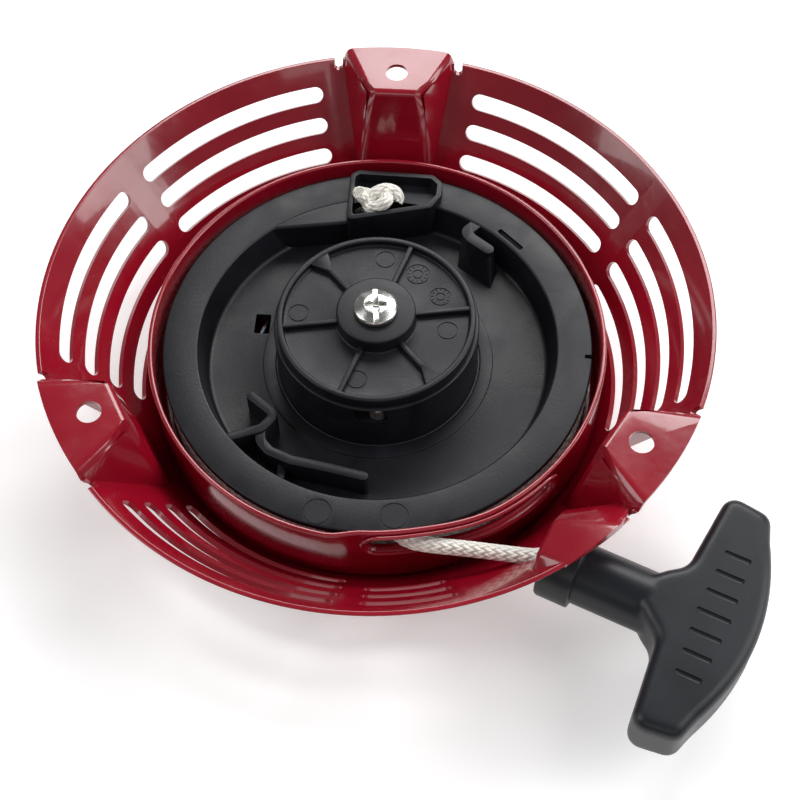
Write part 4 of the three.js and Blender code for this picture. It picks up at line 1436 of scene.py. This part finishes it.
def grip_place():
    """Turns a piece built along +X from the outlet into its place."""
    outlet = Skirt().outlet() * MM
    return Matrix.Translation(outlet) @ Matrix.Rotation(math.radians(GRIP_ANGLE), 4, "Z")


def bar_outline():
    half = [(BAR_INNER - 8, GRIP_STEM - 3.8), (BAR_INNER - 4.6, GRIP_STEM - 0.4)]
    half += arc(BAR_INNER - 6, GRIP_STEM + 6, 6, -60, 0, 6)
    half += arc(BAR_INNER + 5.5, BAR_HALF - 3.8, 4, 180, 90, 8)
    half += arc(BAR_END - 3.8, BAR_HALF - 4.6, 4, 80, 10, 8)
    bow = []
    for i in range(-9, 10):
        t = i / 10
        bow.append((BAR_END + (BAR_OUTER - BAR_END) * (1 - t * t), -t * (BAR_HALF - 5)))
    mirrored = [(x, -y) for x, y in reversed(half)]
    return half + bow + mirrored


def along_x(name, profile, sides):
    body = turned(name, profile, sides)
    body.data.transform(Matrix.Rotation(math.pi / 2, 4, "Y"))
    return body


def pull_grip():
    bar = bevelled(prism("pull_grip_moulding", bar_outline(), -BAR_THICK / 2, BAR_THICK / 2), 2.9, 6, 60)
    radius, length = GRIP_COLLAR
    stem = [(0, 5), (GRIP_STEM, 5), (GRIP_STEM, BAR_INNER + 3), (0, BAR_INNER + 3)]
    body = united(bar, along_x("stem", stem, 96))
    modified(body, "REMESH", mode="VOXEL", voxel_size=0.55 * MM)
    modified(body, "SMOOTH", factor=0.5, iterations=12)
    profile = [
        (0, 0.4), (radius, 0.4), (radius, length), (GRIP_STEM - 0.6, length + 0.6), (0, length + 0.6),
    ]
    body = united(body, along_x("collar", filleted(profile, [0, 1.3, 0.5, 0, 0], 3), 96))
    bore = mm(sizes().rope_size) / 2 + 0.6
    body = cut(body, rod("bore", bore, (-2, 0, 0), (KNOT_SEAT + 1, 0, 0), 32))
    wide, tall = KNOT_POCKET
    pocket = block("pocket", (KNOT_SEAT, -wide / 2, -tall / 2), (BAR_OUTER + 4, wide / 2, tall / 2))
    body = cut(body, bevelled(pocket, 1.2, 4))
    for i in range(-3, 4):
        y = GROOVE_PITCH * i
        half = 4.6 - 0.35 * abs(i)
        groove = block(
            "groove", (GROOVE_X - half, y - 0.75, BAR_THICK / 2 - 0.6), (GROOVE_X + half, y + 0.75, 12),
        )
        body = cut(body, bevelled(groove, 0.5, 3))
    body.data.transform(grip_place())
    return smoothed(body, 32)


def grip_rope():
    """Rope from the outlet to the knot in the grip.

    It runs straight along the pull: its rings lie close together in the bore at
    rest, spaced so that they would lie evenly over the cord that a full pull pays out,
    and V already counts that cord.
    """
    start, end = 1.0, KNOT_SEAT - 1.0
    tail = 2.8
    rings = 420
    radius = mm(sizes().rope_size) / 2
    path, lengths = [Vector((start - 0.9, 0, 0))], [0.0]
    for i in range(1, rings):
        share = i / rings
        t = 0.5 - math.sin(math.asin(1 - 2 * share) / 3)
        x = start + (end - start) * t
        path.append(Vector((x, 0, 0)))
        lengths.append(x - start + TRAVEL * share)
    for k in range(1, 8):
        path.append(Vector((end + tail * k / 7, 0, 0)))
        lengths.append(end - start + tail * k / 7 + TRAVEL)
    body = cord("rope_grip_run_cord", path, lengths, radius - 0.1, 20)
    place = grip_place()
    body.data.transform(place)
    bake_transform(body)
    return body


def grip_knot():
    centre = Vector((KNOT_SEAT + 5.9, 0, 0))
    wide, deep, tall = 1.2, 0.75, 0.8
    points = [centre + Vector((tall * z, wide * x, deep * y)) for x, y, z in trefoil(30, 24)]
    path = even_path(points, 0.4)
    body = cord("rope_grip_knot_cord", path, running_lengths(path), 1.75, 40, BRAID_RELIEF)
    body.data.transform(grip_place())
    return body


class STARTER_OT_grip(bpy.types.Operator):
    """Moulds the T-shaped pull grip"""

    bl_idname = "starter.grip"
    bl_label = "Pull grip"

    def execute(self, context):
        finished(pull_grip(), "grip", "grip_plastic", material("grip"), "pull_grip")
        return {"FINISHED"}


class STARTER_OT_grip_rope(bpy.types.Operator):
    """Makes the rope that is pulled out with the grip, and its knot"""

    bl_idname = "starter.grip_rope"
    bl_label = "Rope in the grip"

    def execute(self, context):
        run = grip_rope()
        run.data.materials.append(material("rope"))
        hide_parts("rope_grip_run")
        finished(grip_knot(), "grip", "braided_rope", material("rope"), "rope_grip_knot")
        return {"FINISHED"}


# ----------------------------------------------------------------- pieces kept as made
KEPT_NODES = {
    "centre_post": "turned_steel",
    "recoil_spring": "spring_steel",
    "spring_anchor": "turned_steel",
    "pawl_pin_front": "turned_steel",
    "pawl_pin_rear": "turned_steel",
    "pawl_spring_front": "spring_steel",
    "pawl_spring_rear": "spring_steel",
    "friction_spring": "spring_steel",
    "grip_reinforcement": "pawl_steel",
}


class STARTER_OT_inner_parts(bpy.types.Operator):
    """Gives the post, pins, springs and plate their finishes"""

    bl_idname = "starter.inner_parts"
    bl_label = "Inner steel parts"

    def execute(self, context):
        for name, key in KEPT_NODES.items():
            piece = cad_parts[name]
            piece.data.materials.clear()
            piece.data.materials.append(material(key))
        return {"FINISHED"}


class STARTER_PT_pieces(bpy.types.Panel):
    """Lists the starter's pieces in the 3D view's sidebar"""

    bl_idname = "STARTER_PT_pieces"
    bl_label = "Recoil starter"
    bl_space_type = "VIEW_3D"
    bl_region_type = "UI"
    bl_category = "Starter"

    def draw(self, context):
        for group in (context.scene.starter_sizes, context.scene.starter_colours):
            column = self.layout.column()
            for key in group.__annotations__:
                column.prop(group, key)
        for operator in OPERATORS:
            self.layout.operator(operator.bl_idname)


OPERATORS = (
    STARTER_OT_stage, STARTER_OT_cover, STARTER_OT_cup, STARTER_OT_reel, STARTER_OT_rope,
    STARTER_OT_guide, STARTER_OT_screw, STARTER_OT_pawls, STARTER_OT_grip, STARTER_OT_grip_rope,
    STARTER_OT_inner_parts,
)
CLASSES = (StarterSizes, StarterColours, *OPERATORS, STARTER_PT_pieces)


def register():
    for cls in CLASSES:
        bpy.utils.register_class(cls)
    bpy.types.Scene.starter_sizes = PointerProperty(type=StarterSizes)
    bpy.types.Scene.starter_colours = PointerProperty(type=StarterColours)


def unregister():
    del bpy.types.Scene.starter_colours
    del bpy.types.Scene.starter_sizes
    for cls in reversed(CLASSES):
        bpy.utils.unregister_class(cls)


def main():
    register()
    for operator in OPERATORS:
        _, name = operator.bl_idname.split(".")
        getattr(bpy.ops.starter, name)()


if __name__ == "__main__":
    main()
